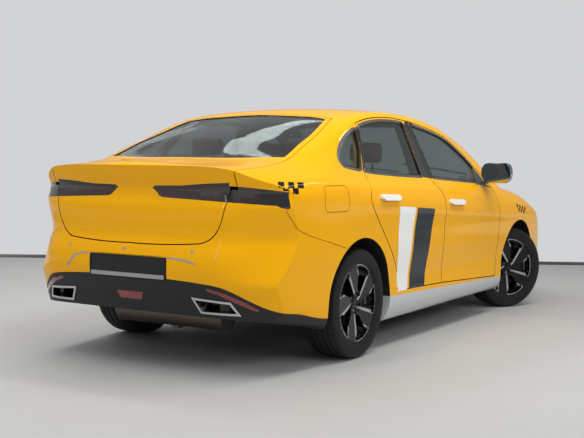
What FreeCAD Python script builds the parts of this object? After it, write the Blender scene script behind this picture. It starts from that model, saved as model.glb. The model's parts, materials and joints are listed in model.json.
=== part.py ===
import FreeCAD, Part
import math
import os
import Sketcher

Vector = FreeCAD.Vector
doc = FreeCAD.newDocument("TaxiCab")
sheet = doc.addObject("Spreadsheet::Sheet", "Sizes")

# Driving dimensions in millimetres: alias, value, what it sizes
driving_dimensions = (
    ("WheelBase", 2760, "rear axle to front axle"),
    ("RearOverhang", 1050, "rear axle to the tail"),
    ("FrontOverhang", 965, "front axle to the nose"),
    ("BodyWidth", 1820, "over the wheel arches, without the mirrors"),
    ("BodyHeight", 1512, "floor to the crown of the roof"),
    ("TrackWidth", 1544, "between the middles of two tyres"),
    ("TyreRadius", 325, "tyre of an 18 inch wheel"),
    ("TyreWidth", 225, "section width of a tyre"),
    ("BeadRadius", 228.6, "seat of the tyre's bead"),
    ("FlangeRadius", 242, "rim flange"),
    ("RimWidth", 190, "between the outer faces of the flanges"),
    ("HubRadius", 75, "pad that bolts to the hub"),
    ("HubBore", 33.55, "centre bore of the wheel"),
    ("BoltCircle", 57.15, "radius of the circle of wheel bolts"),
    ("ArchRadius", 385, "wheel arch opening"),
    ("SteerAngle", 29, "front wheels as parked, turned to the right, degrees"),
    ("KingpinInset", 32, "from the tyre's middle in to the steering axis"),
    ("ShutGap", 6, "between panels that move"),
    ("SeamGap", 0.3, "between pieces that are fixed to each other"),
    ("FlangeStep", 16, "door skin that overlaps the frame of its opening"),
    ("SkinDepth", 14, "depth of that overlap"),
    ("DoorThickness", 75, "outer skin to inner trim, below the belt"),
    ("BeltThickness", 58, "door at the belt"),
    ("FrameThickness", 34, "door frames and pillars beside the glass"),
    ("RailThickness", 38, "roof rail over the doors"),
    ("RoofThickness", 24, "roof with its lining"),
    ("WingThickness", 45, "wings, bumpers and rear quarters"),
    ("LidThickness", 32, "bonnet and tailgate with their inner frames"),
    ("TailThickness", 52, "tail and nose panels, fore and aft"),
    ("GlassThickness", 5, "window glass"),
    ("GlassInset", 5, "outer face of the glass below the frame"),
    ("FloorThickness", 20, "floor pan"),
    ("FloorHeight", 185, "underside of the floor"),
)
row = 1
for alias, value, words in driving_dimensions:
    sheet.set("A%d" % row, words)
    sheet.set("B%d" % row, str(value))
    sheet.setAlias("B%d" % row, alias)
    row += 1
doc.recompute()
size = {alias: float(sheet.get(alias)) for alias, value, words in driving_dimensions}

body_length = size["RearOverhang"] + size["WheelBase"] + size["FrontOverhang"]
half_width = size["BodyWidth"] / 2
rear_axle_x = size["RearOverhang"] - body_length / 2
front_axle_x = rear_axle_x + size["WheelBase"]
gap = size["ShutGap"]
seam = size["SeamGap"]
reach = body_length  # an overrun for every cutting prism

# Each name of a part's file, with its object, in the order they are made
nodes = []


def keep(label, shape, placement=None):
    """A sculpted piece whose shape is worked out from the sheet."""
    item = doc.addObject("Part::Feature", label)
    item.Label = label
    item.Shape = shape
    if placement:
        item.Placement = placement
    nodes.append(item)
    return item


def along(station):
    """x of a station: -1 is the tail, 0 and 1 are the axles, 2 is the nose."""
    if station < 0:
        return rear_axle_x + station * size["RearOverhang"]
    if station <= 1:
        return rear_axle_x + station * size["WheelBase"]
    return front_axle_x + (station - 1) * size["FrontOverhang"]


def across(share):
    return share * half_width


def up(share):
    return share * size["BodyHeight"]


def between(low, high, share):
    return low + (high - low) * share


def clamp(value):
    return min(1.0, max(0.0, value))


def smooth_value(table, station):
    """A monotone cubic through the pairs of a table."""
    xs = [pair[0] for pair in table]
    ys = [pair[1] for pair in table]
    if station <= xs[0]:
        return ys[0]
    if station >= xs[-1]:
        return ys[-1]
    slopes = [(ys[i + 1] - ys[i]) / (xs[i + 1] - xs[i]) for i in range(len(xs) - 1)]
    tangents = [slopes[0]]
    for i in range(1, len(slopes)):
        before, after = slopes[i - 1], slopes[i]
        if before * after <= 0:
            tangents.append(0.0)
        else:
            tangents.append(2 * before * after / (before + after))
    tangents.append(slopes[-1])
    i = max(k for k in range(len(xs) - 1) if xs[k] <= station)
    span = xs[i + 1] - xs[i]
    t = (station - xs[i]) / span
    start = ys[i] * (2 * t**3 - 3 * t**2 + 1) + tangents[i] * span * (t**3 - 2 * t**2 + t)
    end = ys[i + 1] * (3 * t**2 - 2 * t**3) + tangents[i + 1] * span * (t**3 - t**2)
    return start + end


# Body lines. Stations as in along(), widths as shares of half the body's width, heights as
# shares of its height. The half width in plan, then the crease line's height.
plan_shares = (
    (-1.06, 0.7692), (-0.993, 0.8187), (-0.917, 0.8626), (-0.821, 0.9033), (-0.726, 0.9341),
    (-0.631, 0.9538), (-0.536, 0.9692), (-0.393, 0.9846), (-0.155, 0.9956), (0.05, 0.9978),
    (0.195, 0.9956), (0.485, 0.9945), (0.702, 0.9945), (0.847, 0.9978), (0.992, 1),
    (1.288, 0.9923), (1.495, 0.9758), (1.65, 0.9538), (1.806, 0.9143), (1.909, 0.8681),
    (1.992, 0.8187), (2.065, 0.7692),
)
crease_shares = (
    (-1.06, 0.6448), (-0.806, 0.6435), (-0.406, 0.6362), (0.025, 0.625), (0.17, 0.6124),
    (0.338, 0.5972), (0.437, 0.584), (0.599, 0.5648), (0.748, 0.5456), (0.887, 0.5278),
    (0.956, 0.5225), (1.08, 0.5126), (1.288, 0.4993), (1.495, 0.4828), (1.65, 0.4683),
    (1.806, 0.453), (1.909, 0.4378), (2.065, 0.4134),
)

# Lines below the crease, bottom first: how far each lies inside the plan, then its height
lower_line_shares = (
    # edge of the floor
    (((-1.06, 0.1209), (-0.44, 0.1429), (0.485, 0.1538), (2.065, 0.1319)),
     ((-1.06, 0.2282), (-0.726, 0.1918), (-0.44, 0.1554), (-0.25, 0.129), (-0.06, 0.1224),
      (2.065, 0.129))),
    # underside of the skirt
    (((-1.06, 0.044), (0.485, 0.0462), (2.065, 0.0495)),
     ((-1.06, 0.246), (-0.726, 0.205), (-0.44, 0.1667), (-0.25, 0.1422), (-0.06, 0.1356),
      (2.065, 0.1422))),
    # top of the skirt
    (((-1.06, 0.011), (0.485, 0.0198), (2.065, 0.0154)),
     ((-1.06, 0.291), (-0.726, 0.2646), (-0.44, 0.2315), (-0.155, 0.2216), (1.08, 0.2183),
      (2.065, 0.2183))),
    # hollow in the lower door
    (((-1.06, 0.0066), (-0.06, 0.0176), (0.485, 0.0264), (0.847, 0.022), (2.065, 0.0044)),
     ((-1.06, 0.3439), (-0.726, 0.3241), (-0.06, 0.2943), (0.485, 0.2877), (2.065, 0.2844))),
    # fullest line of the lower door
    (((-1.06, 0.0022), (0.485, 0.0099), (2.065, 0.0011)),
     ((-1.06, 0.4034), (0.485, 0.3902), (2.065, 0.3439))),
    # waist
    (((-1.06, 0.0011), (0.485, 0.0033), (2.065, 0)),
     ((-1.06, 0.5093), (0.485, 0.4894), (0.992, 0.463), (2.065, 0.377))),
)

# Sections above the crease, tail to nose: station, then (width, height) of the shoulder, belt,
# low glass, high glass, roof rail, glass edge, half roof and crown
upper_section_shares = (
    (-1.06, (0.7582, 0.6634), (0.7341, 0.6749), (0.7143, 0.6866), (0.6923, 0.699),
     (0.6703, 0.7108), (0.6429, 0.7184), (0.3297, 0.7328), (0, 0.7374)),
    (-0.964, (0.822, 0.6634), (0.7956, 0.6763), (0.7692, 0.6893), (0.7385, 0.703),
     (0.7099, 0.7146), (0.6791, 0.7225), (0.3495, 0.7381), (0, 0.7427)),
    (-0.869, (0.8626, 0.6634), (0.833, 0.678), (0.8022, 0.6916), (0.7637, 0.7058),
     (0.7275, 0.7179), (0.6923, 0.7268), (0.3626, 0.7427), (0, 0.748)),
    (-0.726, (0.9154, 0.6634), (0.8846, 0.682), (0.8462, 0.697), (0.7967, 0.713), (0.7495, 0.726),
     (0.7033, 0.7345), (0.3681, 0.75), (0, 0.756)),
    (-0.602, (0.9451, 0.6634), (0.9154, 0.686), (0.8703, 0.705), (0.8132, 0.7235),
     (0.7582, 0.7375), (0.7066, 0.7455), (0.3681, 0.7593), (0, 0.7639)),
    (-0.564, (0.9516, 0.6634), (0.922, 0.6868), (0.8747, 0.7067), (0.8154, 0.7265),
     (0.7593, 0.7416), (0.7066, 0.7498), (0.3681, 0.7626), (0, 0.7672)),
    (-0.517, (0.9593, 0.6634), (0.9297, 0.6885), (0.8791, 0.7093), (0.8187, 0.7305),
     (0.7604, 0.7463), (0.7055, 0.7549), (0.3681, 0.7701), (0, 0.7798)),
    (-0.393, (0.9736, 0.664), (0.9429, 0.6921), (0.8879, 0.7189), (0.822, 0.7463),
     (0.7604, 0.7681), (0.6989, 0.7784), (0.3659, 0.7999), (0, 0.8122)),
    (-0.25, (0.9802, 0.6653), (0.9363, 0.7024), (0.8791, 0.7384), (0.8154, 0.7761),
     (0.7516, 0.8052), (0.6835, 0.8182), (0.3604, 0.8422), (0, 0.8532)),
    (-0.107, (0.9802, 0.6653), (0.9209, 0.7103), (0.8593, 0.7596), (0.8, 0.8052), (0.7363, 0.8399),
     (0.6637, 0.8536), (0.3549, 0.878), (0, 0.8882)),
    (0.014, (0.9758, 0.6647), (0.9099, 0.7116), (0.844, 0.7794), (0.7835, 0.8383),
     (0.7209, 0.8796), (0.6374, 0.8923), (0.3484, 0.9104), (0, 0.9193)),
    (0.068, (0.9736, 0.6627), (0.9077, 0.7077), (0.8363, 0.7937), (0.7736, 0.8644),
     (0.7121, 0.9133), (0.6154, 0.9272), (0.3429, 0.9381), (0, 0.9458)),
    (0.122, (0.9714, 0.6601), (0.9088, 0.7037), (0.8297, 0.8022), (0.7626, 0.8839),
     (0.7033, 0.9388), (0.611, 0.952), (0.3407, 0.9636), (0, 0.9689)),
    (0.195, (0.9703, 0.6554), (0.911, 0.6997), (0.8264, 0.8069), (0.756, 0.8948), (0.6923, 0.9583),
     (0.6099, 0.9729), (0.3407, 0.9841), (0, 0.9894)),
    (0.285, (0.9692, 0.6495), (0.9143, 0.6951), (0.8286, 0.8036), (0.756, 0.8968),
     (0.6879, 0.9676), (0.6099, 0.9828), (0.3407, 0.9934), (0, 0.9987)),
    (0.376, (0.9692, 0.6429), (0.9187, 0.6878), (0.8319, 0.7983), (0.7582, 0.8929),
     (0.6879, 0.9676), (0.6099, 0.9835), (0.3407, 0.9947), (0, 1)),
    (0.466, (0.9703, 0.6356), (0.9242, 0.6819), (0.8374, 0.7903), (0.7648, 0.8829),
     (0.6934, 0.959), (0.6099, 0.9775), (0.3407, 0.9901), (0, 0.996)),
    (0.557, (0.9725, 0.6276), (0.9297, 0.6746), (0.8462, 0.7791), (0.778, 0.8651),
     (0.7088, 0.9372), (0.6132, 0.9623), (0.3407, 0.9788), (0, 0.9854)),
    (0.63, (0.9747, 0.6204), (0.9352, 0.6667), (0.8571, 0.7619), (0.7978, 0.8347),
     (0.7363, 0.9008), (0.6429, 0.9358), (0.3462, 0.9623), (0, 0.9696)),
    (0.68, (0.9769, 0.6138), (0.9407, 0.6601), (0.8736, 0.7421), (0.822, 0.8036), (0.7692, 0.8571),
     (0.7033, 0.8929), (0.3626, 0.9339), (0, 0.9418)),
    (0.738, (0.9802, 0.6045), (0.9473, 0.6508), (0.8923, 0.7143), (0.8516, 0.7606),
     (0.811, 0.8003), (0.7615, 0.8386), (0.3846, 0.8829), (0, 0.8915)),
    (0.793, (0.9835, 0.5939), (0.9527, 0.6402), (0.9143, 0.6839), (0.8824, 0.7156),
     (0.8484, 0.746), (0.8044, 0.7791), (0.4121, 0.8287), (0, 0.8386)),
    (0.847, (0.9868, 0.5807), (0.9571, 0.627), (0.9319, 0.6508), (0.9077, 0.672), (0.878, 0.6958),
     (0.8407, 0.7222), (0.4396, 0.7698), (0, 0.7804)),
    (0.883, (0.9879, 0.5728), (0.9604, 0.6151), (0.9385, 0.6336), (0.9143, 0.6495),
     (0.8857, 0.6667), (0.8571, 0.6845), (0.4527, 0.7262), (0, 0.7368)),
    (0.905, (0.989, 0.5688), (0.9615, 0.6091), (0.9407, 0.625), (0.9154, 0.6376), (0.8879, 0.6495),
     (0.8604, 0.6601), (0.4615, 0.6958), (0, 0.7063)),
    (0.927, (0.9901, 0.5648), (0.9626, 0.6032), (0.9418, 0.6177), (0.9165, 0.629), (0.889, 0.6389),
     (0.8593, 0.6462), (0.467, 0.6693), (0, 0.6786)),
    (0.956, (0.9901, 0.5602), (0.9648, 0.5952), (0.9451, 0.6098), (0.9187, 0.6217),
     (0.8901, 0.6303), (0.8571, 0.6369), (0.4725, 0.6607), (0, 0.6687)),
    (1.08, (0.9912, 0.5476), (0.9692, 0.5741), (0.9451, 0.5906), (0.9165, 0.6045),
     (0.8835, 0.6151), (0.844, 0.6224), (0.467, 0.6448), (0, 0.6528)),
    (1.288, (0.9835, 0.5304), (0.9626, 0.5509), (0.9363, 0.5668), (0.9044, 0.5807),
     (0.8681, 0.5913), (0.8242, 0.5992), (0.456, 0.6217), (0, 0.6296)),
    (1.495, (0.9648, 0.506), (0.9429, 0.5205), (0.9154, 0.5337), (0.8824, 0.5463),
     (0.8429, 0.5562), (0.7934, 0.5642), (0.4396, 0.5886), (0, 0.5985)),
    (1.65, (0.9396, 0.4868), (0.9165, 0.498), (0.8879, 0.5086), (0.8527, 0.5192), (0.811, 0.5284),
     (0.7582, 0.5364), (0.4176, 0.5589), (0, 0.5688)),
    (1.806, (0.8978, 0.4683), (0.8747, 0.4775), (0.8451, 0.4868), (0.8099, 0.496), (0.767, 0.5046),
     (0.7143, 0.5119), (0.3956, 0.5291), (0, 0.539)),
    (1.909, (0.8516, 0.4524), (0.8275, 0.4603), (0.7978, 0.4689), (0.7626, 0.4775),
     (0.7209, 0.4854), (0.6703, 0.4927), (0.3736, 0.5079), (0, 0.5172)),
    (2.065, (0.7527, 0.4272), (0.7297, 0.4345), (0.7011, 0.4418), (0.6681, 0.4497),
     (0.6297, 0.457), (0.5846, 0.4643), (0.3297, 0.4775), (0, 0.4861)),
)

# Bow of the tail and nose in plan: width, then set-back as a share of half the width
tail_bow_shares = (
    (0, 0), (0.22, 0.0044), (0.44, 0.0187), (0.55, 0.0297), (0.642, 0.044), (0.714, 0.0714),
    (0.769, 0.1011), (0.824, 0.1407), (0.879, 0.1956), (0.912, 0.2363), (0.956, 0.3077),
    (0.989, 0.3846), (1.044, 0.5714),
)
nose_bow_shares = (
    (0, 0), (0.22, 0.0066), (0.44, 0.0308), (0.55, 0.0527), (0.659, 0.0901), (0.769, 0.1538),
    (0.857, 0.2363), (0.923, 0.3297), (0.967, 0.4286), (1.044, 0.6),
)
# Lean of the tail and nose in side view: height, then set-back as a share of the width's half
tail_lean_shares = (
    (0.05, 0.165), (0.12, 0.132), (0.198, 0.0824), (0.234, 0.0604), (0.298, 0.0275),
    (0.331, 0.0088), (0.37, 0), (0.41, 0.0044), (0.45, 0.0275), (0.476, 0.0495),
    (0.529, 0.0549), (0.582, 0.0527), (0.603, 0.0571), (0.628, 0.0747), (0.661, 0.0769),
    (0.675, 0.0681), (0.701, 0.0495), (0.728, 0.033), (0.743, 0.0242), (0.8, 0), (0.9, 0),
    (1.05, 0), (1.2, 0),
)
nose_lean_shares = (
    (0.05, 0.2), (0.1, 0.165), (0.146, 0.066), (0.198, 0.0275), (0.265, 0.0055), (0.331, 0),
    (0.397, 0.011), (0.45, 0.0385), (0.489, 0.0824), (0.529, 0.165), (0.562, 0.286), (0.6, 0.45),
    (0.65, 0.52), (0.75, 0.54), (0.9, 0.54), (1.05, 0.54), (1.2, 0.54),
)
# Hollow in the corners of the rear bumper: its share across, then its depth by height
tail_dent_shares = (
    ((0.55, 0), (0.66, 0.1), (0.77, 0.5), (0.857, 0.9), (0.91, 1), (1.1, 1)),
    ((0.3, 0), (0.335, 0), (0.36, 0.033), (0.397, 0.071), (0.423, 0.071), (0.463, 0.066),
     (0.516, 0.049), (0.549, 0.033), (0.582, 0.013), (0.615, 0), (0.8, 0)),
)

cabin_end_stations = (-0.25, -0.488)  # where the tailgate's deck takes over from the cabin
cowl_stations = (0.81, 0.9)  # where the bonnet takes over from the cabin
cabin_lean_degrees = (0, 0, 0, 0, 0, 0, 0, 0, 14, 24, 27, 28, 42, 68, 86, 90)
deck_lean_degrees = (0, 0, 0, 0, 0, 0, 8, 20, 34, 46, 55, 62, 68, 76, 87, 90)
cabin_walls = [size["DoorThickness"]] * 9 + [size["BeltThickness"]] + [size["FrameThickness"]] * 2
cabin_walls += [size["RailThickness"], size["FrameThickness"]] + [size["RoofThickness"]] * 2
deck_walls = [size["WingThickness"]] * 10 + [size["LidThickness"]] * 6


def body_section(section):
    """Half a cross-section, floor edge to crown, as (y, z) in millimetres."""
    station = section[0]
    plan = smooth_value(plan_shares, station)
    crease = smooth_value(crease_shares, station)
    points = []
    for insets, heights in lower_line_shares:
        inset = smooth_value(insets, station)
        points.append((across(plan - inset), up(smooth_value(heights, station))))
    shoulder_width, shoulder_height = section[1]
    points.append((across(plan), up(crease)))
    quarter = 0.25
    third = 0.33
    points.append((across(between(plan, shoulder_width, quarter)),
                   up(between(crease, shoulder_height, third))))
    points += [(across(width), up(height)) for width, height in section[1:]]
    return points


def deck_blend(station):
    """0 in the cabin, 1 at the bonnet and the tail."""
    behind = (cabin_end_stations[0] - station) / (cabin_end_stations[0] - cabin_end_stations[1])
    ahead = (station - cowl_stations[0]) / (cowl_stations[1] - cowl_stations[0])
    return clamp(max(behind, ahead))


def body_grid(walls, lowered):
    """Points of the whole skin, set inwards by its walls along each line's lean."""
    rows = []
    for section in upper_section_shares:
        station = section[0]
        share = deck_blend(station)
        half = []
        for i, (y, z) in enumerate(body_section(section)):
            lean = math.radians(between(cabin_lean_degrees[i], deck_lean_degrees[i], share))
            wall = walls(i, share)
            half.append((y - wall * math.cos(lean), z - wall * math.sin(lean)))
        if lowered:
            half.insert(0, (half[0][0], half[0][1] - lowered))
        whole = half + [(-y, z) for y, z in reversed(half[:-1])]
        rows.append([Vector(along(station), y, z) for y, z in whole])
    return rows


def closed_solid(faces):
    shell = Part.Shell(faces)
    shell.sewShape()
    solid = Part.Solid(shell)
    if solid.Volume < 0:
        solid.reverse()
    return solid


def skin_solid(rows):
    """The closed volume under a skin, with flat ends and a ruled underside."""
    surface = Part.BSplineSurface()
    surface.interpolate(rows)
    first_u, last_u, first_v, last_v = surface.bounds()
    floor = Part.makeRuledSurface(surface.vIso(first_v).toShape(), surface.vIso(last_v).toShape())
    ends = []
    for u, points in ((first_u, rows[0]), (last_u, rows[-1])):
        closing = Part.LineSegment(points[-1], points[0]).toShape()
        ends.append(Part.Face(Part.Wire([surface.uIso(u).toShape(), closing])))
    return closed_solid([surface.toShape(), floor] + ends)


def smooth_curve(points):
    curve = Part.BSplineCurve()
    curve.interpolate(points)
    return curve


def end_solid(bow_shares, lean_shares, sign, inward, dent_shares=None):
    """Everything on the car's side of the bowed tail (sign -1) or nose (sign 1)."""
    bow = [Vector(-sign * across(set_back), across(width), 0) for width, set_back in bow_shares]
    mirrored = [Vector(p.x, -p.y, 0) for p in reversed(bow[1:])]
    plan_curve = smooth_curve(mirrored + bow)
    side_curve = smooth_curve([Vector(-sign * across(set_back), 0, up(height))
                               for height, set_back in lean_shares])
    start = Vector(sign * (body_length / 2 - inward), 0, 0)
    poles = [[start + a + b for b in side_curve.getPoles()] for a in plan_curve.getPoles()]
    if dent_shares:
        across_shares, height_shares = dent_shares
        for line in poles:
            for pole in line:
                share = smooth_value(across_shares, abs(pole.y) / half_width)
                share *= smooth_value(height_shares, pole.z / size["BodyHeight"])
                pole.x -= sign * across(share)
    surface = Part.BSplineSurface()
    surface.buildFromPolesMultsKnots(
        poles, plan_curve.getMultiplicities(), side_curve.getMultiplicities(),
        plan_curve.getKnots(), side_curve.getKnots(), False, False,
        plan_curve.Degree, side_curve.Degree)
    return surface.toShape().extrude(Vector(-sign * 1.3 * reach, 0, 0))


def whole_body(walls, inward, lowered):
    skin = skin_solid(body_grid(walls, lowered))
    tail = end_solid(tail_bow_shares, tail_lean_shares, -1, inward, tail_dent_shares)
    nose = end_solid(nose_bow_shares, nose_lean_shares, 1, inward)
    return skin.common(tail).common(nose)


def wall_table(i, share):
    return between(cabin_walls[i], deck_walls[i], share)


def even(depth):
    return lambda i, share: depth


open_below = size["FloorHeight"] / 2
outer = whole_body(even(0), 0, 0)
inner = whole_body(wall_table, size["TailThickness"], open_below)
below_skin = whole_body(even(size["SkinDepth"]), size["SkinDepth"], open_below)
glass_top = whole_body(even(size["GlassInset"]), size["GlassInset"], 0)
glass_depth = size["GlassInset"] + size["GlassThickness"]
glass_bottom = whole_body(even(glass_depth), glass_depth, open_below)
shell = outer.cut(inner)
skin_layer = outer.cut(below_skin)
glass_layer = glass_top.cut(glass_bottom)
print("skins", outer.isValid(), inner.isValid(), shell.isValid(), len(shell.Solids))


# Outlines: each is a ring of segments, and two points make a straight one
def to_side(point):
    return (along(point[0]), up(point[1]))


def to_top(point):
    return (along(point[0]), across(point[1]))


def to_rear(point):
    return (across(point[0]), up(point[1]))


def scaled(segments, convert):
    return [[convert(point) for point in segment] for segment in segments]


def mirrored_ring(segments, seen_from_top=True):
    """A half outline with its ends on the centre line, made whole."""
    if seen_from_top:
        other = [[(x, -y) for x, y in reversed(segment)] for segment in reversed(segments)]
    else:
        other = [[(-y, z) for y, z in reversed(segment)] for segment in reversed(segments)]
    return [list(segment) for segment in segments] + other


def ring_area(points):
    return sum(a[0] * b[1] - b[0] * a[1] for a, b in zip(points, points[1:] + points[:1])) / 2


def inset(segments, distance):
    """The ring moved inwards by a distance, corners kept."""
    flat = [point for segment in segments for point in segment[:-1]]
    side = 1 if ring_area(flat) > 0 else -1
    moved = []
    for i, point in enumerate(flat):
        before, after = flat[i - 1], flat[(i + 1) % len(flat)]
        normals = []
        for start, end in ((before, point), (point, after)):
            run = math.hypot(end[0] - start[0], end[1] - start[1])
            normals.append(((start[1] - end[1]) / run * side, (end[0] - start[0]) / run * side))
        n = (normals[0][0] + normals[1][0], normals[0][1] + normals[1][1])
        reach_in = distance / max(0.25, (n[0] ** 2 + n[1] ** 2) / 2)
        moved.append((point[0] + n[0] * reach_in, point[1] + n[1] * reach_in))
    result = []
    k = 0
    for segment in segments:
        count = len(segment) - 1
        result.append([moved[(k + j) % len(moved)] for j in range(count + 1)])
        k += count
    return result


def ring_face(segments, place):
    edges = []
    for segment in segments:
        points = [place(point) for point in segment]
        if len(points) == 2:
            edges.append(Part.LineSegment(points[0], points[1]).toShape())
        else:
            curve = Part.BSplineCurve()
            curve.interpolate(points)
            edges.append(curve.toShape())
    return Part.Face(Part.Wire(edges))


def side_prism(segments, side, inner_share=0.2):
    """Side-view outline swept across one side of the car, or both where side is 0."""
    far = size["BodyWidth"]
    if side == 0:
        start, run = -far, 2 * far
    else:
        start, run = side * across(inner_share), side * far
    face = ring_face(segments, lambda p: Vector(p[0], start, p[1]))
    return face.extrude(Vector(0, run, 0))


def top_prism(segments, low, high):
    face = ring_face(segments, lambda p: Vector(p[0], p[1], low))
    return face.extrude(Vector(0, 0, high - low))


def rear_prism(segments, start, end):
    face = ring_face(segments, lambda p: Vector(start, p[0], p[1]))
    return face.extrude(Vector(end - start, 0, 0))


rear_door_shares = (
    ((0.436, 0.2235), (0.192, 0.2328)),
    ((0.192, 0.2328), (0.177, 0.3036), (0.144, 0.3856), (0.122, 0.4286), (0.086, 0.4921),
     (0.053, 0.5456), (0.034, 0.582), (0.025, 0.6151), (0.03, 0.6448), (0.042, 0.6746),
     (0.053, 0.711)),
    ((0.053, 0.711), (0.082, 0.8036), (0.11, 0.918)),
    ((0.11, 0.918), (0.176, 0.9418), (0.241, 0.9537), (0.315, 0.957), (0.37, 0.953),
     (0.388, 0.9511)),
    ((0.388, 0.9511), (0.4, 0.6878)),
    ((0.4, 0.6878), (0.41, 0.668), (0.43, 0.6283), (0.436, 0.582)),
    ((0.436, 0.582), (0.436, 0.2235)),
)
front_door_shares = (
    ((0.812, 0.1958), (0.436, 0.2235)),
    ((0.436, 0.2235), (0.436, 0.582)),
    ((0.436, 0.582), (0.43, 0.6283), (0.41, 0.668), (0.4, 0.6878)),
    ((0.4, 0.6878), (0.388, 0.9511)),
    ((0.388, 0.9511), (0.451, 0.9398), (0.534, 0.9167), (0.605, 0.8869), (0.657, 0.8433),
     (0.698, 0.7976), (0.735, 0.7421), (0.771, 0.6878), (0.793, 0.6515)),
    ((0.793, 0.6515), (0.812, 0.5952), (0.824, 0.5159), (0.827, 0.4299), (0.822, 0.3175),
     (0.812, 0.1958)),
)
rear_window_shares = (
    ((0.351, 0.7063), (0.161, 0.7169), (0.067, 0.7262)),
    ((0.067, 0.7262), (0.091, 0.8036), (0.12, 0.9008)),
    ((0.12, 0.9008), (0.176, 0.9213), (0.241, 0.9332), (0.315, 0.9365), (0.362, 0.9339)),
    ((0.362, 0.9339), (0.351, 0.7063)),
)
front_window_shares = (
    ((0.698, 0.6772), (0.54, 0.6905), (0.42, 0.7004)),
    ((0.42, 0.7004), (0.408, 0.9299)),
    ((0.408, 0.9299), (0.451, 0.9206), (0.534, 0.8975), (0.601, 0.8677), (0.649, 0.8267),
     (0.688, 0.7837), (0.716, 0.7421)),
    ((0.716, 0.7421), (0.698, 0.6772)),
)
quarter_window_shares = (
    ((0.038, 0.7321), (-0.045, 0.7434)),
    ((-0.045, 0.7434), (-0.079, 0.754), (-0.071, 0.7725)),
    ((-0.071, 0.7725), (0.003, 0.8148), (0.051, 0.8598), (0.095, 0.8909)),
    ((0.095, 0.8909), (0.073, 0.8102), (0.038, 0.7321)),
)
windscreen_shares = (
    ((0.655, 0), (0.644, 0.2747), (0.624, 0.4615), (0.593, 0.6286)),
    ((0.593, 0.6286), (0.68, 0.6901), (0.738, 0.7495), (0.793, 0.7934), (0.847, 0.8297),
     (0.894, 0.8484)),
    ((0.894, 0.8484), (0.916, 0.6593), (0.928, 0.3846), (0.932, 0)),
)
rear_glass_shares = (
    ((0.09, 0), (0.088, 0.2747), (0.083, 0.4396), (0.072, 0.5692)),
    ((0.072, 0.5692), (0.014, 0.611), (-0.107, 0.6407), (-0.25, 0.6604), (-0.383, 0.678),
     (-0.426, 0.6824)),
    ((-0.426, 0.6824), (-0.498, 0.4945), (-0.54, 0.2747), (-0.555, 0)),
)
roof_shares = (
    ((0.1, 0), (0.097, 0.2747), (0.091, 0.4396), (0.082, 0.5989)),
    ((0.082, 0.5989), (0.285, 0.6154), (0.466, 0.6154), (0.585, 0.6374)),
    ((0.585, 0.6374), (0.624, 0.4725), (0.648, 0.2747), (0.661, 0)),
)
tailgate_top_shares = (
    ((0.1, 0), (0.097, 0.2747), (0.091, 0.4396), (0.082, 0.5989)),
    ((0.082, 0.5989), (0.014, 0.6462), (-0.107, 0.6747), (-0.25, 0.6945), (-0.393, 0.711),
     (-0.488, 0.7165), (-0.679, 0.7088), (-0.879, 0.6945), (-1.107, 0.6857)),
    ((-1.107, 0.6857), (-1.107, 0)),
)
tailgate_rear_shares = (
    ((0.7033, 0.7804), (0.6659, 0.6878), (0.6418, 0.6138), (0.6154, 0.5489), (0.5714, 0.5007),
     (0.478, 0.4702)),
    ((0.478, 0.4702), (0.3297, 0.4643), (0, 0.4616)),
)
lamp_shares = (
    ((0.1264, 0.6594), (0.2747, 0.6634), (0.4396, 0.668), (0.6418, 0.67), (0.7692, 0.6647),
     (0.9165, 0.6515)),
    ((0.9165, 0.6515), (0.967, 0.6316), (0.9582, 0.6052), (0.8857, 0.6038)),
    ((0.8857, 0.6038), (0.7692, 0.6098), (0.6418, 0.6144), (0.4396, 0.6197), (0.2022, 0.6257)),
    ((0.2022, 0.6257), (0.1264, 0.6594)),
)
rear_bumper_shares = (
    ((-1.202, 0.6052), (-0.745, 0.6052)),
    ((-0.745, 0.6052), (-0.717, 0.5714), (-0.66, 0.5205), (-0.536, 0.4914), (-0.383, 0.4669),
     (-0.155, 0.4299)),
    ((-0.155, 0.4299), (-0.155, 0.05)),
    ((-0.155, 0.05), (-1.202, 0.05)),
    ((-1.202, 0.05), (-1.202, 0.6052)),
)
valance_shares = (
    ((-1.202, 0.3287), (-0.955, 0.3254), (-0.917, 0.3035), (-0.821, 0.2545), (-0.745, 0.234),
     (-0.631, 0.2225), (-0.488, 0.2), (-0.345, 0.1852), (-0.155, 0.1825)),
    ((-0.155, 0.1825), (-0.155, 0.0331)),
    ((-0.155, 0.0331), (-1.202, 0.0331)),
    ((-1.202, 0.0331), (-1.202, 0.3287)),
)
front_bumper_shares = (
    ((1.12, 0.4167), (1.225, 0.4233), (1.391, 0.4332), (1.557, 0.463)),
    ((1.557, 0.463), (1.66, 0.56)),
    ((1.66, 0.56), (2.22, 0.56)),
    ((2.22, 0.56), (2.22, 0.05)),
    ((2.22, 0.05), (1.12, 0.05)),
    ((1.12, 0.05), (1.12, 0.4167)),
)
bonnet_shares = (
    ((0.957, 0), (0.954, 0.3846), (0.942, 0.6593), (0.925, 0.8187)),
    ((0.925, 0.8187), (1.08, 0.7967), (1.443, 0.7385), (1.661, 0.6703)),
    ((1.661, 0.6703), (1.785, 0.4945), (1.847, 0.2747), (1.863, 0)),
)
headlamp_shares = (
    ((0.44, 0.4815), (0.604, 0.4894), (0.769, 0.496), (0.956, 0.5093)),
    ((0.956, 0.5093), (0.967, 0.4894), (0.945, 0.4630)),
    ((0.945, 0.4630), (0.769, 0.4497), (0.55, 0.4431)),
    ((0.55, 0.4431), (0.44, 0.4815)),
)
grille_shares = (
    ((0.549, 0.4233), (0.275, 0.4332), (0, 0.4365)),
    ((0.549, 0.4233), (0.593, 0.3439), (0.505, 0.2381)),
    ((0.505, 0.2381), (0.253, 0.2315), (0, 0.2302)),
)
skirt_stations = (0.098, 0.885)
skirt_top_shares = (0.2183, 0.1852)

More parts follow.
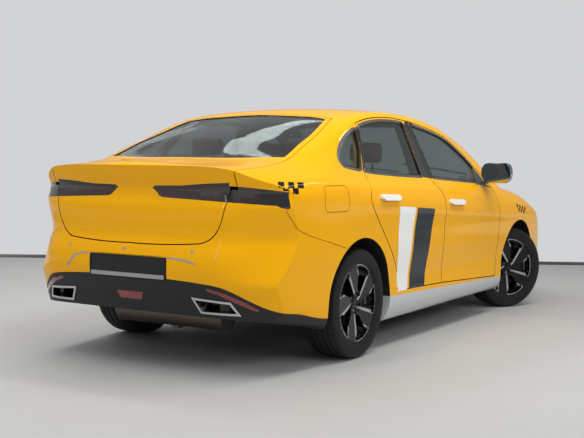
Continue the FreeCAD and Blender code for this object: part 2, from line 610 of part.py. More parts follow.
rear_door_ring = scaled(rear_door_shares, to_side)
front_door_ring = scaled(front_door_shares, to_side)
windscreen_ring = mirrored_ring(scaled(windscreen_shares, to_top))
rear_glass_ring = mirrored_ring(scaled(rear_glass_shares, to_top))
roof_ring = mirrored_ring(scaled(roof_shares, to_top))
tailgate_ring = mirrored_ring(scaled(tailgate_top_shares, to_top))
tailgate_rear_ring = scaled(tailgate_rear_shares, to_rear)
tailgate_rear_ring = mirrored_ring([[(0, tailgate_rear_ring[0][0][1]), tailgate_rear_ring[0][0]]]
                                   + tailgate_rear_ring, False)
lamp_ring = scaled(lamp_shares, to_rear)
rear_bumper_ring = scaled(rear_bumper_shares, to_side)
valance_ring = scaled(valance_shares, to_side)
front_bumper_ring = scaled(front_bumper_shares, to_side)
bonnet_ring = mirrored_ring(scaled(bonnet_shares, to_top))
headlamp_ring = scaled(headlamp_shares, to_rear)

# Levels and planes that the prisms are cut to
roof_level = up(1.2)
deck_level = up(0.655)
bonnet_level = up(0.46)
sill_level = up(0.05)
tail_plane = along(-1.2)
lid_plane = along(-0.7)
nose_plane = along(2.2)

wheel_centres = {
    "rear_left": Vector(rear_axle_x, size["TrackWidth"] / 2, size["TyreRadius"]),
    "rear_right": Vector(rear_axle_x, -size["TrackWidth"] / 2, size["TyreRadius"]),
    "front_left": Vector(front_axle_x, size["TrackWidth"] / 2, size["TyreRadius"]),
    "front_right": Vector(front_axle_x, -size["TrackWidth"] / 2, size["TyreRadius"]),
}


def across_cylinder(radius, x, z, start, end):
    return Part.makeCylinder(radius, end - start, Vector(x, start, z), Vector(0, 1, 0))


arches = []
for axle_x in (rear_axle_x, front_axle_x):
    arches.append(across_cylinder(size["ArchRadius"], axle_x, size["TyreRadius"], -reach, reach))

lid_top = top_prism(tailgate_ring, deck_level, roof_level)
lid_rear = rear_prism(tailgate_rear_ring, tail_plane, lid_plane)
lid_region = lid_top.fuse(lid_rear)
wide_lid_top = top_prism(inset(tailgate_ring, -gap), deck_level, roof_level)
wide_lid_rear = rear_prism(inset(tailgate_rear_ring, -gap), tail_plane, lid_plane)
wide_lid_region = wide_lid_top.fuse(wide_lid_rear)

lamp_depth = across(0.33)
lamp_prism = rear_prism(inset(lamp_ring, seam), tail_plane, along(-1) + lamp_depth)
lamp_pocket = rear_prism(lamp_ring, tail_plane, along(-1) + lamp_depth)
headlamp_prism = rear_prism(inset(headlamp_ring, seam), nose_plane, along(1.55))
headlamp_pocket = rear_prism(headlamp_ring, nose_plane, along(1.55))


def join(shapes):
    result = shapes[0]
    if len(shapes) > 1:
        result = result.fuse(shapes[1:])
    return result


def solids_over(shape, least):
    """The real pieces of a shape, without slivers."""
    kept = [solid for solid in shape.Solids if solid.Volume > least]
    return kept[0] if len(kept) == 1 else Part.makeCompound(kept)


def other_side(shape):
    return shape.mirror(Vector(0, 0, 0), Vector(0, 1, 0))


def keep_both(label, shape, least):
    """A node with a piece of the left side and its mirror image."""
    left = solids_over(shape, least)
    return keep(label, Part.makeCompound(left.Solids + other_side(left).Solids))


sliver = size["SkinDepth"] ** 3
left_half = Part.makeBox(2 * reach, reach, 2 * reach, Vector(-reach, 0, -reach))
left_shell = shell.common(left_half)
left_skin = skin_layer.common(left_half)
left_glass = glass_layer.common(left_half)

# Doors: the skin overlaps the opening's frame, the rest of the door lies inside it
apertures = []
door_shapes = {}
for end, ring, window in (("rear", rear_door_ring, rear_window_shares),
                          ("front", front_door_ring, front_window_shares)):
    window_ring = scaled(window, to_side)
    edge = side_prism(inset(ring, gap / 2), 1)
    core = side_prism(inset(ring, gap / 2 + size["FlangeStep"]), 1)
    panel = left_skin.common(edge)
    door = left_shell.common(core).fuse(panel).cut(side_prism(window_ring, 1))
    door = solids_over(door, sliver)
    pane = left_glass.common(side_prism(inset(window_ring, seam), 1))
    pane = solids_over(pane, sliver)
    keep("door_%s_left_shell" % end, door)
    keep("door_%s_right_shell" % end, other_side(door))
    keep("door_%s_left_glass" % end, pane)
    keep("door_%s_right_glass" % end, other_side(pane))
    apertures.append(side_prism(inset(ring, -gap / 2), 1))

# Tailgate with its glass and the lamps that it carries
lamp_pockets = [lamp_pocket, other_side(lamp_pocket)]
tailgate = shell.common(lid_region)
rear_opening = top_prism(rear_glass_ring, deck_level, roof_level)
tailgate = tailgate.cut(join([rear_opening] + lamp_pockets))
keep("tailgate_shell", solids_over(tailgate, sliver))
pane = glass_layer.common(top_prism(inset(rear_glass_ring, seam), deck_level, roof_level))
keep("tailgate_glass", solids_over(pane, sliver))
lamp = left_shell.common(lamp_prism)
keep_both("tailgate_lamps", lamp.common(lid_rear), sliver)
keep_both("tail_lamps_outer", lamp.cut(wide_lid_region), sliver)

def crate(x0, x1, y0, y1, z0, z1):
    """A plain box between stations, width shares and height shares."""
    corner = Vector(along(x0), across(y0), up(z0))
    return Part.makeBox(along(x1) - along(x0), across(y1 - y0), up(z1 - z0), corner)


def both_sides(shape):
    return [shape, shape.mirror(Vector(0, 0, 0), Vector(0, 1, 0))]


def under_skin(box, high, low):
    """What of a box lies between two levels under the skin's inner face."""
    above = inner.translated(Vector(0, 0, -high))
    return box.common(above).cut(inner.translated(Vector(0, 0, -low)))


def bearer(seat, arm, weld):
    """Bracket whose seat lies a seam under a lid and whose weld reaches into fixed skin."""
    thick = size["FlangeStep"]
    parts = [under_skin(arm, thick, 2 * thick), under_skin(weld, -size["SkinDepth"] / 3, 2 * thick)]
    return under_skin(seat, seam, 2 * thick).fuse(parts)


# Bonnet, roof and fixed glass
bonnet_region = top_prism(bonnet_ring, bonnet_level, up(0.72))
wide_bonnet_region = top_prism(inset(bonnet_ring, -gap), bonnet_level, up(0.72))
keep("bonnet", solids_over(shell.common(bonnet_region), sliver))

roof_prism = top_prism(roof_ring, up(0.7), roof_level)
roof_edge = top_prism(inset(roof_ring, -seam), up(0.7), roof_level)
screen_opening = top_prism(windscreen_ring, up(0.6), roof_level)
roof = shell.common(roof_prism).cut(screen_opening).cut(wide_lid_region)
lid_bearer = bearer(crate(0.0839, 0.0918, 0.352, 0.418, 0.85, 1),
                    crate(0.0839, 0.1078, 0.352, 0.418, 0.85, 1),
                    crate(0.0998, 0.1078, 0.352, 0.418, 0.85, 1))
roof = roof.fuse(both_sides(lid_bearer))
keep("roof_panel", solids_over(roof, sliver))

screen = glass_layer.common(top_prism(inset(windscreen_ring, seam), up(0.6), roof_level))
quarter_ring = scaled(quarter_window_shares, to_side)
quarter_opening = side_prism(quarter_ring, 1)
quarter = left_glass.common(side_prism(inset(quarter_ring, seam), 1))
fixed_panes = [solids_over(shape, sliver) for shape in (screen, quarter, other_side(quarter))]
keep("fixed_glass", Part.makeCompound(fixed_panes))

# Bumpers and valance, cut for the lamps, arches and grille
bumper_region = side_prism(rear_bumper_ring, 0)
rear_shell = shell.common(bumper_region).cut(join([wide_lid_region] + lamp_pockets + [arches[0]]))
bumper = rear_shell.cut(side_prism(inset(valance_ring, -seam), 0))
valance = rear_shell.common(side_prism(valance_ring, 0))

half_grille = scaled(grille_shares, to_rear)
grille_half_ring = [list(reversed(half_grille[0])), half_grille[1], half_grille[2]]
grille_ring = mirrored_ring(grille_half_ring, False)
grille_opening = rear_prism(grille_ring, along(1.55), nose_plane)
headlamp_pockets = [headlamp_pocket, other_side(headlamp_pocket)]
front_cutters = headlamp_pockets + [arches[1], grille_opening, wide_bonnet_region]
front_bumper = shell.common(side_prism(front_bumper_ring, 0)).cut(join(front_cutters))
keep("bumper_front", solids_over(front_bumper, sliver))
keep_both("headlamps", left_shell.common(headlamp_prism).cut(wide_bonnet_region), sliver)

# Cowl under the windscreen and the front wings
cowl_stations = (0.88, 0.97)
cowl_share = 0.8
cowl_box = Part.makeBox(along(cowl_stations[1]) - along(cowl_stations[0]), 2 * across(cowl_share),
                        up(0.5), Vector(along(cowl_stations[0]), -across(cowl_share), up(0.5)))
cowl = shell.common(cowl_box).cut(join([screen_opening, wide_bonnet_region]))
keep("cowl_panel", solids_over(cowl, sliver))

wing_back = along(0.86)
wing_top = up(0.9)
door_front_line = front_door_ring[5]
top_corner = door_front_line[0]
foot_x = door_front_line[-1][0] - gap / 2
wing_ring = [
    [(x - gap / 2, z) for x, z in door_front_line],
    [(foot_x, door_front_line[-1][1]), (foot_x, sill_level)],
    [(foot_x, sill_level), (nose_plane, sill_level)],
    [(nose_plane, sill_level), (nose_plane, wing_top)],
    [(nose_plane, wing_top), (wing_back, wing_top)],
    [(wing_back, wing_top), (wing_back, top_corner[1])],
    [(wing_back, top_corner[1]), (top_corner[0] - gap / 2, top_corner[1])],
]
wing_region = side_prism(wing_ring, 1, 0)
wing_cutters = [wide_bonnet_region, arches[1], screen_opening, cowl_box, headlamp_pocket]
wing_cutters += [side_prism(inset(front_bumper_ring, -seam), 0)] + apertures
skirt_low, skirt_high = [along(station) for station in skirt_stations]
skirt_rear_top, skirt_front_top = [up(share) for share in skirt_top_shares]
skirt_ring = [
    [(skirt_low, skirt_rear_top), (skirt_high, skirt_front_top)],
    [(skirt_high, skirt_front_top), (skirt_high, sill_level)],
    [(skirt_high, sill_level), (skirt_low, sill_level)],
    [(skirt_low, sill_level), (skirt_low, skirt_rear_top)],
]
wing_cutters.append(side_prism(inset(skirt_ring, -seam), 1))
skirt_top = skirt_front_top - gap
below_skirt = Part.makeBox(2 * reach, 2 * reach, skirt_top, Vector(-reach, -reach, 0))
wing = left_shell.common(wing_region).cut(join(wing_cutters)).cut(below_skirt)
bonnet_bearer = bearer(crate(0.9737, 0.9918, 0.77, 0.87, 0.55, 0.7),
                       crate(0.9737, 0.9918, 0.77, 0.87, 0.55, 0.7),
                       crate(0.9737, 0.9918, 0.8275, 0.87, 0.55, 0.7))
keep_both("front_wings", wing.fuse(bonnet_bearer), sliver)

# What is sunk in the shell or laid on it: floor, sills, pillars and what closes the cabin
wide_wing_region = side_prism(inset(wing_ring, -seam), 1, 0)
cabin_side = inner.translated(Vector(0, -seam, 0))


def clear_of_wing(shape):
    """The shape without what of it would reach into the left front wing."""
    return shape.cut(shape.common(wide_wing_region).cut(cabin_side))


sill_beam = crate(0.144, 0.8542, 0.7253, 0.8791, 0.1323, 0.2183)
door_bottom = rear_door_ring[0] + front_door_ring[0]
strip_ring = [
    [(along(0.06), up(0.2262)), (along(0.9), up(0.1865))],
    [(along(0.9), up(0.1865)), (along(0.9), up(0.1945))],
    [(along(0.9), up(0.1945)), (along(0.436), up(0.2205)), (along(0.06), up(0.2325))],
    [(along(0.06), up(0.2325)), (along(0.06), up(0.2262))],
]
sill_web = clear_of_wing(side_prism(strip_ring, 1, 0.85).common(
    crate(0.1585, 0.8469, 0.8462, 0.9341, 0.1323, 0.2646)))
pillar_shares = (
    (0.8791, 0.1984), (0.8824, 0.5952), (0.8319, 0.6746), (0.7714, 0.7738),
    (0.7033, 0.873), (0.6527, 0.9392), (0.6374, 0.9676), (0.611, 0.9676),
    (0.611, 0.9325), (0.6593, 0.8631), (0.7198, 0.7672), (0.7725, 0.6746),
    (0.8187, 0.5952), (0.8187, 0.1984),
)
pillar_stations = (0.3897, 0.4332)
pillar_ring = [(across(y), up(z)) for y, z in pillar_shares]
pillar_ring = [[a, b] for a, b in zip(pillar_ring, pillar_ring[1:] + pillar_ring[:1])]
middle_pillar = rear_prism(pillar_ring, along(pillar_stations[0]), along(pillar_stations[1]))
middle_pillar = middle_pillar.cut(roof_edge)


# Front pillars under the cowl, and the hinge leaves that meet the doors' front faces
front_pillar = clear_of_wing(crate(0.8306, 0.8462, 0.8352, 0.956, 0.21, 0.6))
leaf_heights = ((0.33, 0.37), (0.5, 0.54))
leaf_widths = (0.86, 0.95)
hinge_leaves = []
for ring, low_station, high_station in ((front_door_ring, 0.815, 0.835),
                                        (rear_door_ring, 0.4121, 0.4393)):
    door_core = side_prism(inset(ring, gap / 2 + size["FlangeStep"] - seam), 1)
    for low_share, high_share in leaf_heights:
        leaf = crate(low_station, high_station, *leaf_widths, low_share, high_share)
        hinge_leaves.append(clear_of_wing(leaf.cut(door_core)))

# Skirts under the doors, then the body sides with sills and middle pillars
skirt_inside = crate(-1.2, 2.2, -0.9011, 0.9011, -0.1, 0.3)
skirt = left_shell.common(side_prism(skirt_ring, 1))
keep_both("side_skirts", skirt.cut(join(arches + apertures + [skirt_inside])), sliver)

side_cutters = apertures + arches + [quarter_opening, lamp_pocket, wing_region]
side_cutters += [roof_edge, wide_lid_region, screen_opening, cowl_box]
side_cutters += [side_prism(inset(rear_bumper_ring, -seam), 0),
                 side_prism(inset(skirt_ring, -seam), 1)]
floor_cut = crate(-1.2, 2.2, -0.84, 0.84, -0.1, 0.3)
body_side = left_shell.cut(join(side_cutters)).cut(floor_cut)
body_side = body_side.fuse([sill_beam, sill_web, middle_pillar, front_pillar] + hinge_leaves)
keep_both("body_sides", body_side, sliver)

floor = crate(0.1368, 0.8542, -0.7247, 0.7247, 0.1224, 0.1356)
tunnel = crate(0.1368, 0.8542, -0.1264, 0.1264, 0.1224, 0.2017)
tunnel_void = crate(0.12, 0.87, -0.1044, 0.1044, 0.0661, 0.1918)
tunnel_clear = crate(0.12, 0.87, -0.1269, 0.1269, 0.0661, 0.202)
riser = crate(0.1313, 0.1386, -0.7247, 0.7247, 0.1224, 0.2381)
boot_floor = crate(-0.665, 0.1368, -0.6593, 0.6593, 0.2282, 0.2381)
boot_step = crate(-0.665, -0.655, -0.6593, 0.6593, 0.2282, 0.3207)
boot_sill = crate(-0.93, -0.655, -0.6593, 0.6593, 0.3108, 0.3207)
boot_wall = crate(-0.431, 0.1386, 0.6484, 0.6645, 0.2282, 0.5291)
rear_panel = crate(-0.9595, -0.9071, -0.6813, 0.6813, 0.3108, 0.4365)
firewall = crate(0.8469, 0.8542, -0.8571, 0.8571, 0.1224, 0.6151).cut(
    join(both_sides(crate(0.8, 0.87, 0.7247, 0.9, 0.1, 0.2187))))
rail = crate(0.8469, 1.9508, 0.4341, 0.489, 0.2384, 0.3108)
front_beam = crate(1.8057, 1.9508, -0.6154, 0.6154, 0.2646, 0.3175)
floor_parts = [floor, tunnel, riser, boot_floor, boot_step, boot_sill, rear_panel]
floor_parts += [firewall, front_beam]
floor_parts += both_sides(boot_wall) + both_sides(rail)
floor_pan = join(floor_parts).cut(tunnel_void).common(inner)
shelf = crate(-0.4881, 0.0371, -0.9451, 0.9451, 0.6614, 0.6713).common(inner)
keep("parcel_shelf", solids_over(shelf, sliver))

liners = []
for axle_x, inner_wall in ((rear_axle_x, 0.6648), (front_axle_x, 0.5)):
    for side in (1, -1):
        start = across(inner_wall)
        wide = across(0.967) - start
        base = Vector(axle_x, side * start, size["TyreRadius"])
        way = Vector(0, side, 0)
        full = Part.makeCylinder(size["ArchRadius"] + size["SkinDepth"] / 2, wide, base, way)
        hollow_base = base + way * (size["SkinDepth"] / 2)
        hollow = Part.makeCylinder(size["ArchRadius"], wide, hollow_base, way)
        liner = full.cut(hollow).common(inner)
        below = Part.makeBox(2 * reach, 2 * reach, up(0.1587), Vector(-reach, -reach, 0))
        passage = Part.makeBox(2 * reach, 2 * (start + size["SkinDepth"]), up(0.2646),
                               Vector(-reach, -start - size["SkinDepth"], 0))
        liners.append(liner.cut(below).cut(passage))
keep("arch_liners", solids_over(Part.makeCompound(liners), sliver))
liner_voids = []
for axle_x, inner_wall in ((rear_axle_x, 0.6648), (front_axle_x, 0.5)):
    for side in (1, -1):
        start = across(inner_wall) - seam
        base = Vector(axle_x, side * start, size["TyreRadius"])
        radius = size["ArchRadius"] + size["SkinDepth"] / 2 + seam
        liner_voids.append(Part.makeCylinder(radius, reach, base, Vector(0, side, 0)))
keep("floor_pan", solids_over(floor_pan.cut(join(liner_voids)), sliver))

# Pieces that lie on the skin: handles, mirrors, finishers, reflectors, grille and plate
handle_low = whole_body(even(-size["GlassInset"]), -size["GlassInset"], 0)
handle_high = whole_body(even(-size["SkinDepth"] * 1.6), -size["SkinDepth"] * 1.6, 0)
handle_shares = {
    "rear": ((0.0679, 0.6184), (0.0687, 0.629), (0.0824, 0.6349),
             (0.1513, 0.6316), (0.1636, 0.6217), (0.1621, 0.6124),
             (0.1495, 0.6071), (0.0824, 0.6098)),
    "front": ((0.46, 0.5833), (0.4607, 0.5939), (0.4745, 0.5999),
              (0.5408, 0.5966), (0.5531, 0.5866), (0.5516, 0.5774),
              (0.5389, 0.5721), (0.4745, 0.5747)),
}
foot_length = size["FlangeStep"] * 3
for end, shares in handle_shares.items():
    points = [to_side(point) for point in shares]
    low_x = min(x for x, z in points)
    high_x = max(x for x, z in points)
    ring = [points[i:i + 2] for i in range(0, len(points) - 1)] + [[points[-1], points[0]]]
    outline = side_prism(ring, 1, 0.85)
    bar = handle_high.common(outline)
    middle = Part.makeBox(high_x - low_x - 2 * foot_length, 2 * reach, 2 * reach,
                          Vector(low_x + foot_length, -reach, 0))
    grip = bar.cut(handle_low).fuse(bar.cut(outer).cut(middle))
    grip = solids_over(grip, seam)
    keep("handle_%s_left" % end, grip)
    keep("handle_%s_right" % end, other_side(grip))

mirror_shares = (
    # station, width to the middle, height of the middle, half width, half height
    (0.7085, 1.0791, 0.7183, 0.1231, 0.0463), (0.7165, 1.0791, 0.7189, 0.1275, 0.0489),
    (0.7346, 1.0747, 0.7183, 0.1187, 0.0443), (0.7527, 1.0637, 0.7156, 0.0901, 0.0331),
    (0.7643, 1.0495, 0.7123, 0.0462, 0.0172),
)
mirror_foot_shares = (
    (0.7509, 0.9286, 0.6693, 0.0172), (0.7437, 0.9945, 0.6812, 0.0099),
    (0.74, 1.044, 0.6944, 0.0112),
)
corner_shares = ((-1, 0.35), (-0.82, 0.93), (0, 1), (0.8, 0.9), (1, 0.2), (0.8, -0.75), (0, -1),
                 (-0.85, -0.8))


def mirror_ring(entry, side, shrink=1):
    station, width, height, half_y, half_z = entry
    points = []
    for a, b in corner_shares:
        points.append(Vector(along(station), side * across(width - shrink * a * half_y),
                             up(height + shrink * b * half_z)))
    curve = Part.BSplineCurve()
    curve.interpolate(points, True)
    return Part.Wire([curve.toShape()])


glass_share = 0.86
housing = Part.makeLoft([mirror_ring(entry, 1) for entry in mirror_shares], True)
back = Part.Face(mirror_ring(mirror_shares[0], 1, glass_share))
recess = back.extrude(Vector(size["SkinDepth"] / 2, 0, 0))
foot = []
for entry in mirror_foot_shares:
    station, width, height, half = entry
    circle = Part.Circle(Vector(along(station), across(width), up(height)), Vector(0, 1, 0.3),
                         up(half))
    foot.append(Part.Wire([circle.toShape()]))
arm = Part.makeLoft(foot, True).cut(outer)
mirror = solids_over(housing.cut(recess).fuse(arm), sliver)
glass = back.extrude(Vector(size["GlassThickness"], 0, 0))
glass.translate(Vector(size["SkinDepth"] / 2 - size["GlassThickness"], 0, 0))
keep("mirror_left", Part.makeCompound([mirror, glass]))
keep("mirror_right", Part.makeCompound([other_side(mirror), other_side(glass)]))

finisher_shares = ((0.4418, 0.2824), (0.6879, 0.2725), (0.7341, 0.2242), (0.4912, 0.2255))
half_ring = [to_rear(point) for point in finisher_shares]
half_ring = [[a, b] for a, b in zip(half_ring, half_ring[1:] + half_ring[:1])]
finisher_wall = gap * 2
finisher_end = along(-0.82)
outline = rear_prism(half_ring, tail_plane, finisher_end)
hollow = rear_prism(inset(half_ring, finisher_wall), tail_plane - gap, finisher_end + gap)
keep_both("exhaust_finishers", outline.cut(hollow).common(handle_low), sliver)
finisher_void = rear_prism(inset(half_ring, -seam), tail_plane, finisher_end + gap)

reflector_shares = (
    (0.5495, 0.3188), (0.6593, 0.3029), (0.7473, 0.2778), (0.8242, 0.246),
    (0.8077, 0.2394), (0.7253, 0.2659), (0.6264, 0.295), (0.5495, 0.3082),
)
fog_shares = ((0.1011, 0.2857), (-0.1011, 0.2857), (-0.0791, 0.2579), (0.0791, 0.2579))


def point_ring(shares):
    points = [to_rear(point) for point in shares]
    return [[a, b] for a, b in zip(points, points[1:] + points[:1])]


tail_skin = skin_layer.common(crate(-1.2, -0.6, -1, 1, 0, 0.5))
reflector_prism = rear_prism(inset(point_ring(reflector_shares), seam), tail_plane, lid_plane)
reflector_void = rear_prism(point_ring(reflector_shares), tail_plane, lid_plane)
fog_prism = rear_prism(inset(point_ring(fog_shares), seam), tail_plane, lid_plane)
fog_void = rear_prism(point_ring(fog_shares), tail_plane, lid_plane)
reflector = solids_over(tail_skin.common(reflector_prism), seam)
fog = solids_over(tail_skin.common(fog_prism), seam)
keep("rear_reflectors", Part.makeCompound([reflector, other_side(reflector), fog]))
# The flange folds over itself beside the arch, so that inner corner is relieved
arch_relief = crate(-0.3881, -0.0976, 0.7473, 0.8077, 0.119, 0.1653)
valance_voids = both_sides(finisher_void) + both_sides(reflector_void) + both_sides(arch_relief)
valance = valance.cut(join(valance_voids + [fog_void]))

slat_count = 8
nose_piece = shell.common(rear_prism(inset(grille_ring, seam), along(1.55), nose_plane))
slats = []
grille_low, grille_high = up(0.2302), up(0.4365)
pitch = (grille_high - grille_low) / slat_count
for i in range(slat_count + 1):
    slats.append(Part.makeBox(reach, 2 * reach, pitch / 3,
                              Vector(0, -reach, grille_low + pitch * (i - 1 / 6))))
for share in (-0.36, 0, 0.36):
    slats.append(Part.makeBox(reach, pitch / 2, reach, Vector(0, across(share) - pitch / 4, 0)))
keep("grille", solids_over(nose_piece.common(join(slats)), seam))

plate_low, plate_high = up(0.3386), up(0.4153)
plate_half = across(0.2879)
plate_front = along(-1) + size["SkinDepth"]
plate = Part.makeBox(gap, 2 * plate_half, plate_high - plate_low,
                     Vector(plate_front - gap, -plate_half, plate_low))
plate_recess = Part.makeBox(plate_front - tail_plane, 2 * (plate_half + gap),
                            plate_high - plate_low + 2 * gap,
                            Vector(tail_plane, -plate_half - gap, plate_low - gap))
keep("number_plate", plate)
keep("valance_rear", solids_over(valance.cut(plate_recess), sliver))
keep("bumper_rear", solids_over(bumper.cut(plate_recess), sliver))


# Inside: seats, their frames, the dashboard and the steering wheel
def padded_block(shares, low_y, high_y, radius):
    points = [Vector(along(x), across(low_y), up(z)) for x, z in shares]
    section = Part.Face(Part.makePolygon(points + points[:1]))
    solid = section.extrude(Vector(0, across(high_y - low_y), 0))
    return solid.makeFillet(radius, solid.Edges)


seat_radius = size["FlangeStep"] * 1.4
front_cushion_shares = ((0.6495, 0.2394), (0.6549, 0.2844), (0.6295, 0.3142),
                        (0.5063, 0.2943), (0.4556, 0.3009), (0.4502, 0.2394))
front_back_shares = ((0.4484, 0.3016), (0.4792, 0.3373), (0.4375, 0.5026),
                     (0.3995, 0.7011), (0.3795, 0.7308), (0.356, 0.7011),
                     (0.3897, 0.5026), (0.4158, 0.3016))
front_head_shares = ((0.3875, 0.7606), (0.3933, 0.8347), (0.3759, 0.8585),
                     (0.3578, 0.8433), (0.3563, 0.7705), (0.3705, 0.7526))
rear_cushion_shares = ((0.3034, 0.2202), (0.3107, 0.2844), (0.2871, 0.3188),
                       (0.1766, 0.2989), (0.1476, 0.3016), (0.1476, 0.2202))
rear_back_shares = ((0.1368, 0.3022), (0.1676, 0.3373), (0.1205, 0.5291),
                    (0.0879, 0.7242), (0.0697, 0.7573), (0.0516, 0.7275),
                    (0.0752, 0.5291), (0.1042, 0.3022))
rear_head_shares = ((0.0832, 0.7837), (0.0868, 0.8433), (0.0716, 0.8631),
                    (0.0534, 0.8519), (0.0513, 0.7903), (0.0672, 0.7751))
cushions = []
backs = []
heads = []
frames = []
for side in (1, -1):
    seat_low, seat_high = sorted((side * 0.1538, side * 0.6648))
    head_low, head_high = sorted((side * 0.2802, side * 0.5385))
    cushions.append(padded_block(front_cushion_shares, seat_low, seat_high, seat_radius))
    backs.append(padded_block(front_back_shares, seat_low, seat_high, seat_radius))
    heads.append(padded_block(front_head_shares, head_low, head_high, seat_radius))
    base_low, base_high = sorted((side * 0.1978, side * 0.6209))
    frames.append(crate(0.4629, 0.6295, base_low, base_high, 0.136, 0.2392))
    for edge_share in (0.148, 0.6653):
        plate_low, plate_high = sorted((side * edge_share, side * (edge_share + 0.0055)))
        hinge_plate = crate(0.437, 0.478, plate_low, plate_high, 0.21, 0.345)
        foot_low, foot_high = sorted((side * 0.148, side * 0.6708))
        frames.append(hinge_plate.fuse(crate(0.463, 0.478, foot_low, foot_high, 0.21, 0.2392)))
keep("front_cushions", Part.makeCompound(cushions))
keep("front_backrests", Part.makeCompound(backs))
cushion = padded_block(rear_cushion_shares, -0.7473, 0.7473, seat_radius)
back = padded_block(rear_back_shares, -0.6462, 0.6462, seat_radius)
keep("rear_cushion", cushion)
keep("rear_backrest", back)
for low_y, high_y in ((-0.1099, 0.1099), (0.2747, 0.522), (-0.522, -0.2747)):
    heads.append(padded_block(rear_head_shares, low_y, high_y, seat_radius))
keep("headrests", Part.makeCompound(heads))
frames.append(crate(0.145, 0.2998, -0.7033, 0.7033, 0.136, 0.2199))
post = size["SkinDepth"] / 2
for x, low_z, high_z, columns in (
        (0.3741, 0.7176, 0.7606, (0.3516, 0.467, -0.3516, -0.467)),
        (0.0679, 0.7407, 0.7837, (-0.0549, 0.0549, 0.3407, 0.456, -0.3407, -0.456))):
    for y in columns:
        frames.append(Part.makeCylinder(post, up(high_z - low_z),
                                        Vector(along(x), across(y), up(low_z))))
frames = [frame.cut(Part.makeCompound(backs + [back] + heads)) for frame in frames]
seat_base = frames[0].fuse(frames[1:]).cut(tunnel_clear)
keep("seat_frames", solids_over(seat_base, seam))

dash_shares = ((0.8469, 0.3968), (0.8469, 0.6118), (0.8107, 0.625), (0.7382, 0.6283),
               (0.7063, 0.6118), (0.694, 0.5688), (0.702, 0.5159), (0.7455, 0.3968))
console_shares = ((0.7382, 0.2017), (0.7382, 0.463), (0.702, 0.4233), (0.6585, 0.3571),
                  (0.4846, 0.3571), (0.4411, 0.3439), (0.4303, 0.2017))
dash = padded_block(dash_shares, -0.8077, 0.8077, size["FlangeStep"])
points = [Vector(along(x), across(-0.1099), up(z)) for x, z in console_shares]
console = Part.Face(Part.makePolygon(points + points[:1])).extrude(Vector(0, across(0.2198), 0))
keep("dashboard", dash.fuse(console))

wheel_place = Vector(along(0.635), across(0.4066), up(0.6184))
column_way = Vector(-0.92, 0, 0.39)
ring_radius = across(0.2)
ring = Part.makeTorus(ring_radius, size["SkinDepth"], wheel_place, column_way)
boss = Part.makeCylinder(ring_radius / 4, size["FlangeStep"] * 2,
                         wheel_place - column_way * size["FlangeStep"], column_way)
column = Part.makeCylinder(ring_radius / 8, ring_radius * 1.3, wheel_place, column_way * -1)
spokes = []
for way in (Vector(0, 1, 0), Vector(0, -1, 0), Vector(-0.39, 0, -0.92)):
    spokes.append(Part.makeCylinder(size["SkinDepth"] * 0.8, ring_radius, wheel_place, way))
keep("steering_wheel", ring.fuse([boss, column] + spokes).cut(dash))


# Primitives and bodies whose sizes are bound to the sheet
def station_words(station):
    """The place that along() gives, as an expression."""
    words = "(Sizes.RearOverhang - Sizes.WheelBase - Sizes.FrontOverhang) / 2"
    if station < 0:
        return words + " + Sizes.RearOverhang * (%s)" % station
    if station <= 1:
        return words + " + Sizes.WheelBase * (%s)" % station
    return words + " + Sizes.WheelBase + Sizes.FrontOverhang * (%s)" % round(station - 1, 4)


def width_words(share):
    return "Sizes.BodyWidth / 2 * (%s)" % share


def height_words(share):
    return "Sizes.BodyHeight * (%s)" % share


def place_words(item, place):
    words = (station_words(place[0]), width_words(place[1]), height_words(place[2]))
    for letter, expression in zip("xyz", words):
        item.setExpression("Placement.Base." + letter, expression)


def block(label, low, high):
    """A box between two (station, width share, height share) corners."""
    item = doc.addObject("Part::Box", label)
    pairs = (("Length", station_words, 0), ("Width", width_words, 1), ("Height", height_words, 2))
    for name, words, i in pairs:
        item.setExpression(name, "(%s) - (%s)" % (words(high[i]), words(low[i])))
    place_words(item, low)
    return item


def rod(label, radius, start, end):
    """A round bar between two places; its radius is a pair of a cell and a share of it."""
    item = doc.addObject("Part::Cylinder", label)
    item.setExpression("Radius", "Sizes.%s * %s" % radius)
    squares = ["((%s) - (%s))^2" % (words(end[i]), words(start[i]))
               for i, words in enumerate((station_words, width_words, height_words))]
    item.setExpression("Height", "sqrt(%s)" % " + ".join(squares))
    first = Vector(along(start[0]), across(start[1]), up(start[2]))
    last = Vector(along(end[0]), across(end[1]), up(end[2]))
    item.Placement.Rotation = FreeCAD.Rotation(Vector(0, 0, 1), last - first)
    place_words(item, start)
    return item


def gather(label, items, kind="Part::MultiFuse"):
    item = doc.addObject(kind, label)
    if kind == "Part::MultiFuse":
        item.Shapes = items
    else:
        item.Links = items
    return item


def node(item, label):
    item.Label = label
    nodes.append(item)
    return item


def mirror_of(item, label):
    copy = doc.addObject("Part::Mirroring", label)
    copy.Source = item
    copy.Normal = Vector(0, 1, 0)
    return copy


def pair(items, label, kind="Part::Compound"):
    """Pieces of one side with their mirror images, in one node."""
    group = items
    for item in list(items):
        group = group + [mirror_of(item, item.Label + "_other")]
    return node(gather(label, group, kind), label)


def plane_of(body, role):
    return [item for item in body.Origin.OriginFeatures if item.Role == role][0]


def terms_value(terms):
    return sum(size[alias] * share for alias, share in terms)


def terms_words(terms):
    return " + ".join("Sizes.%s * (%s)" % term for term in terms)


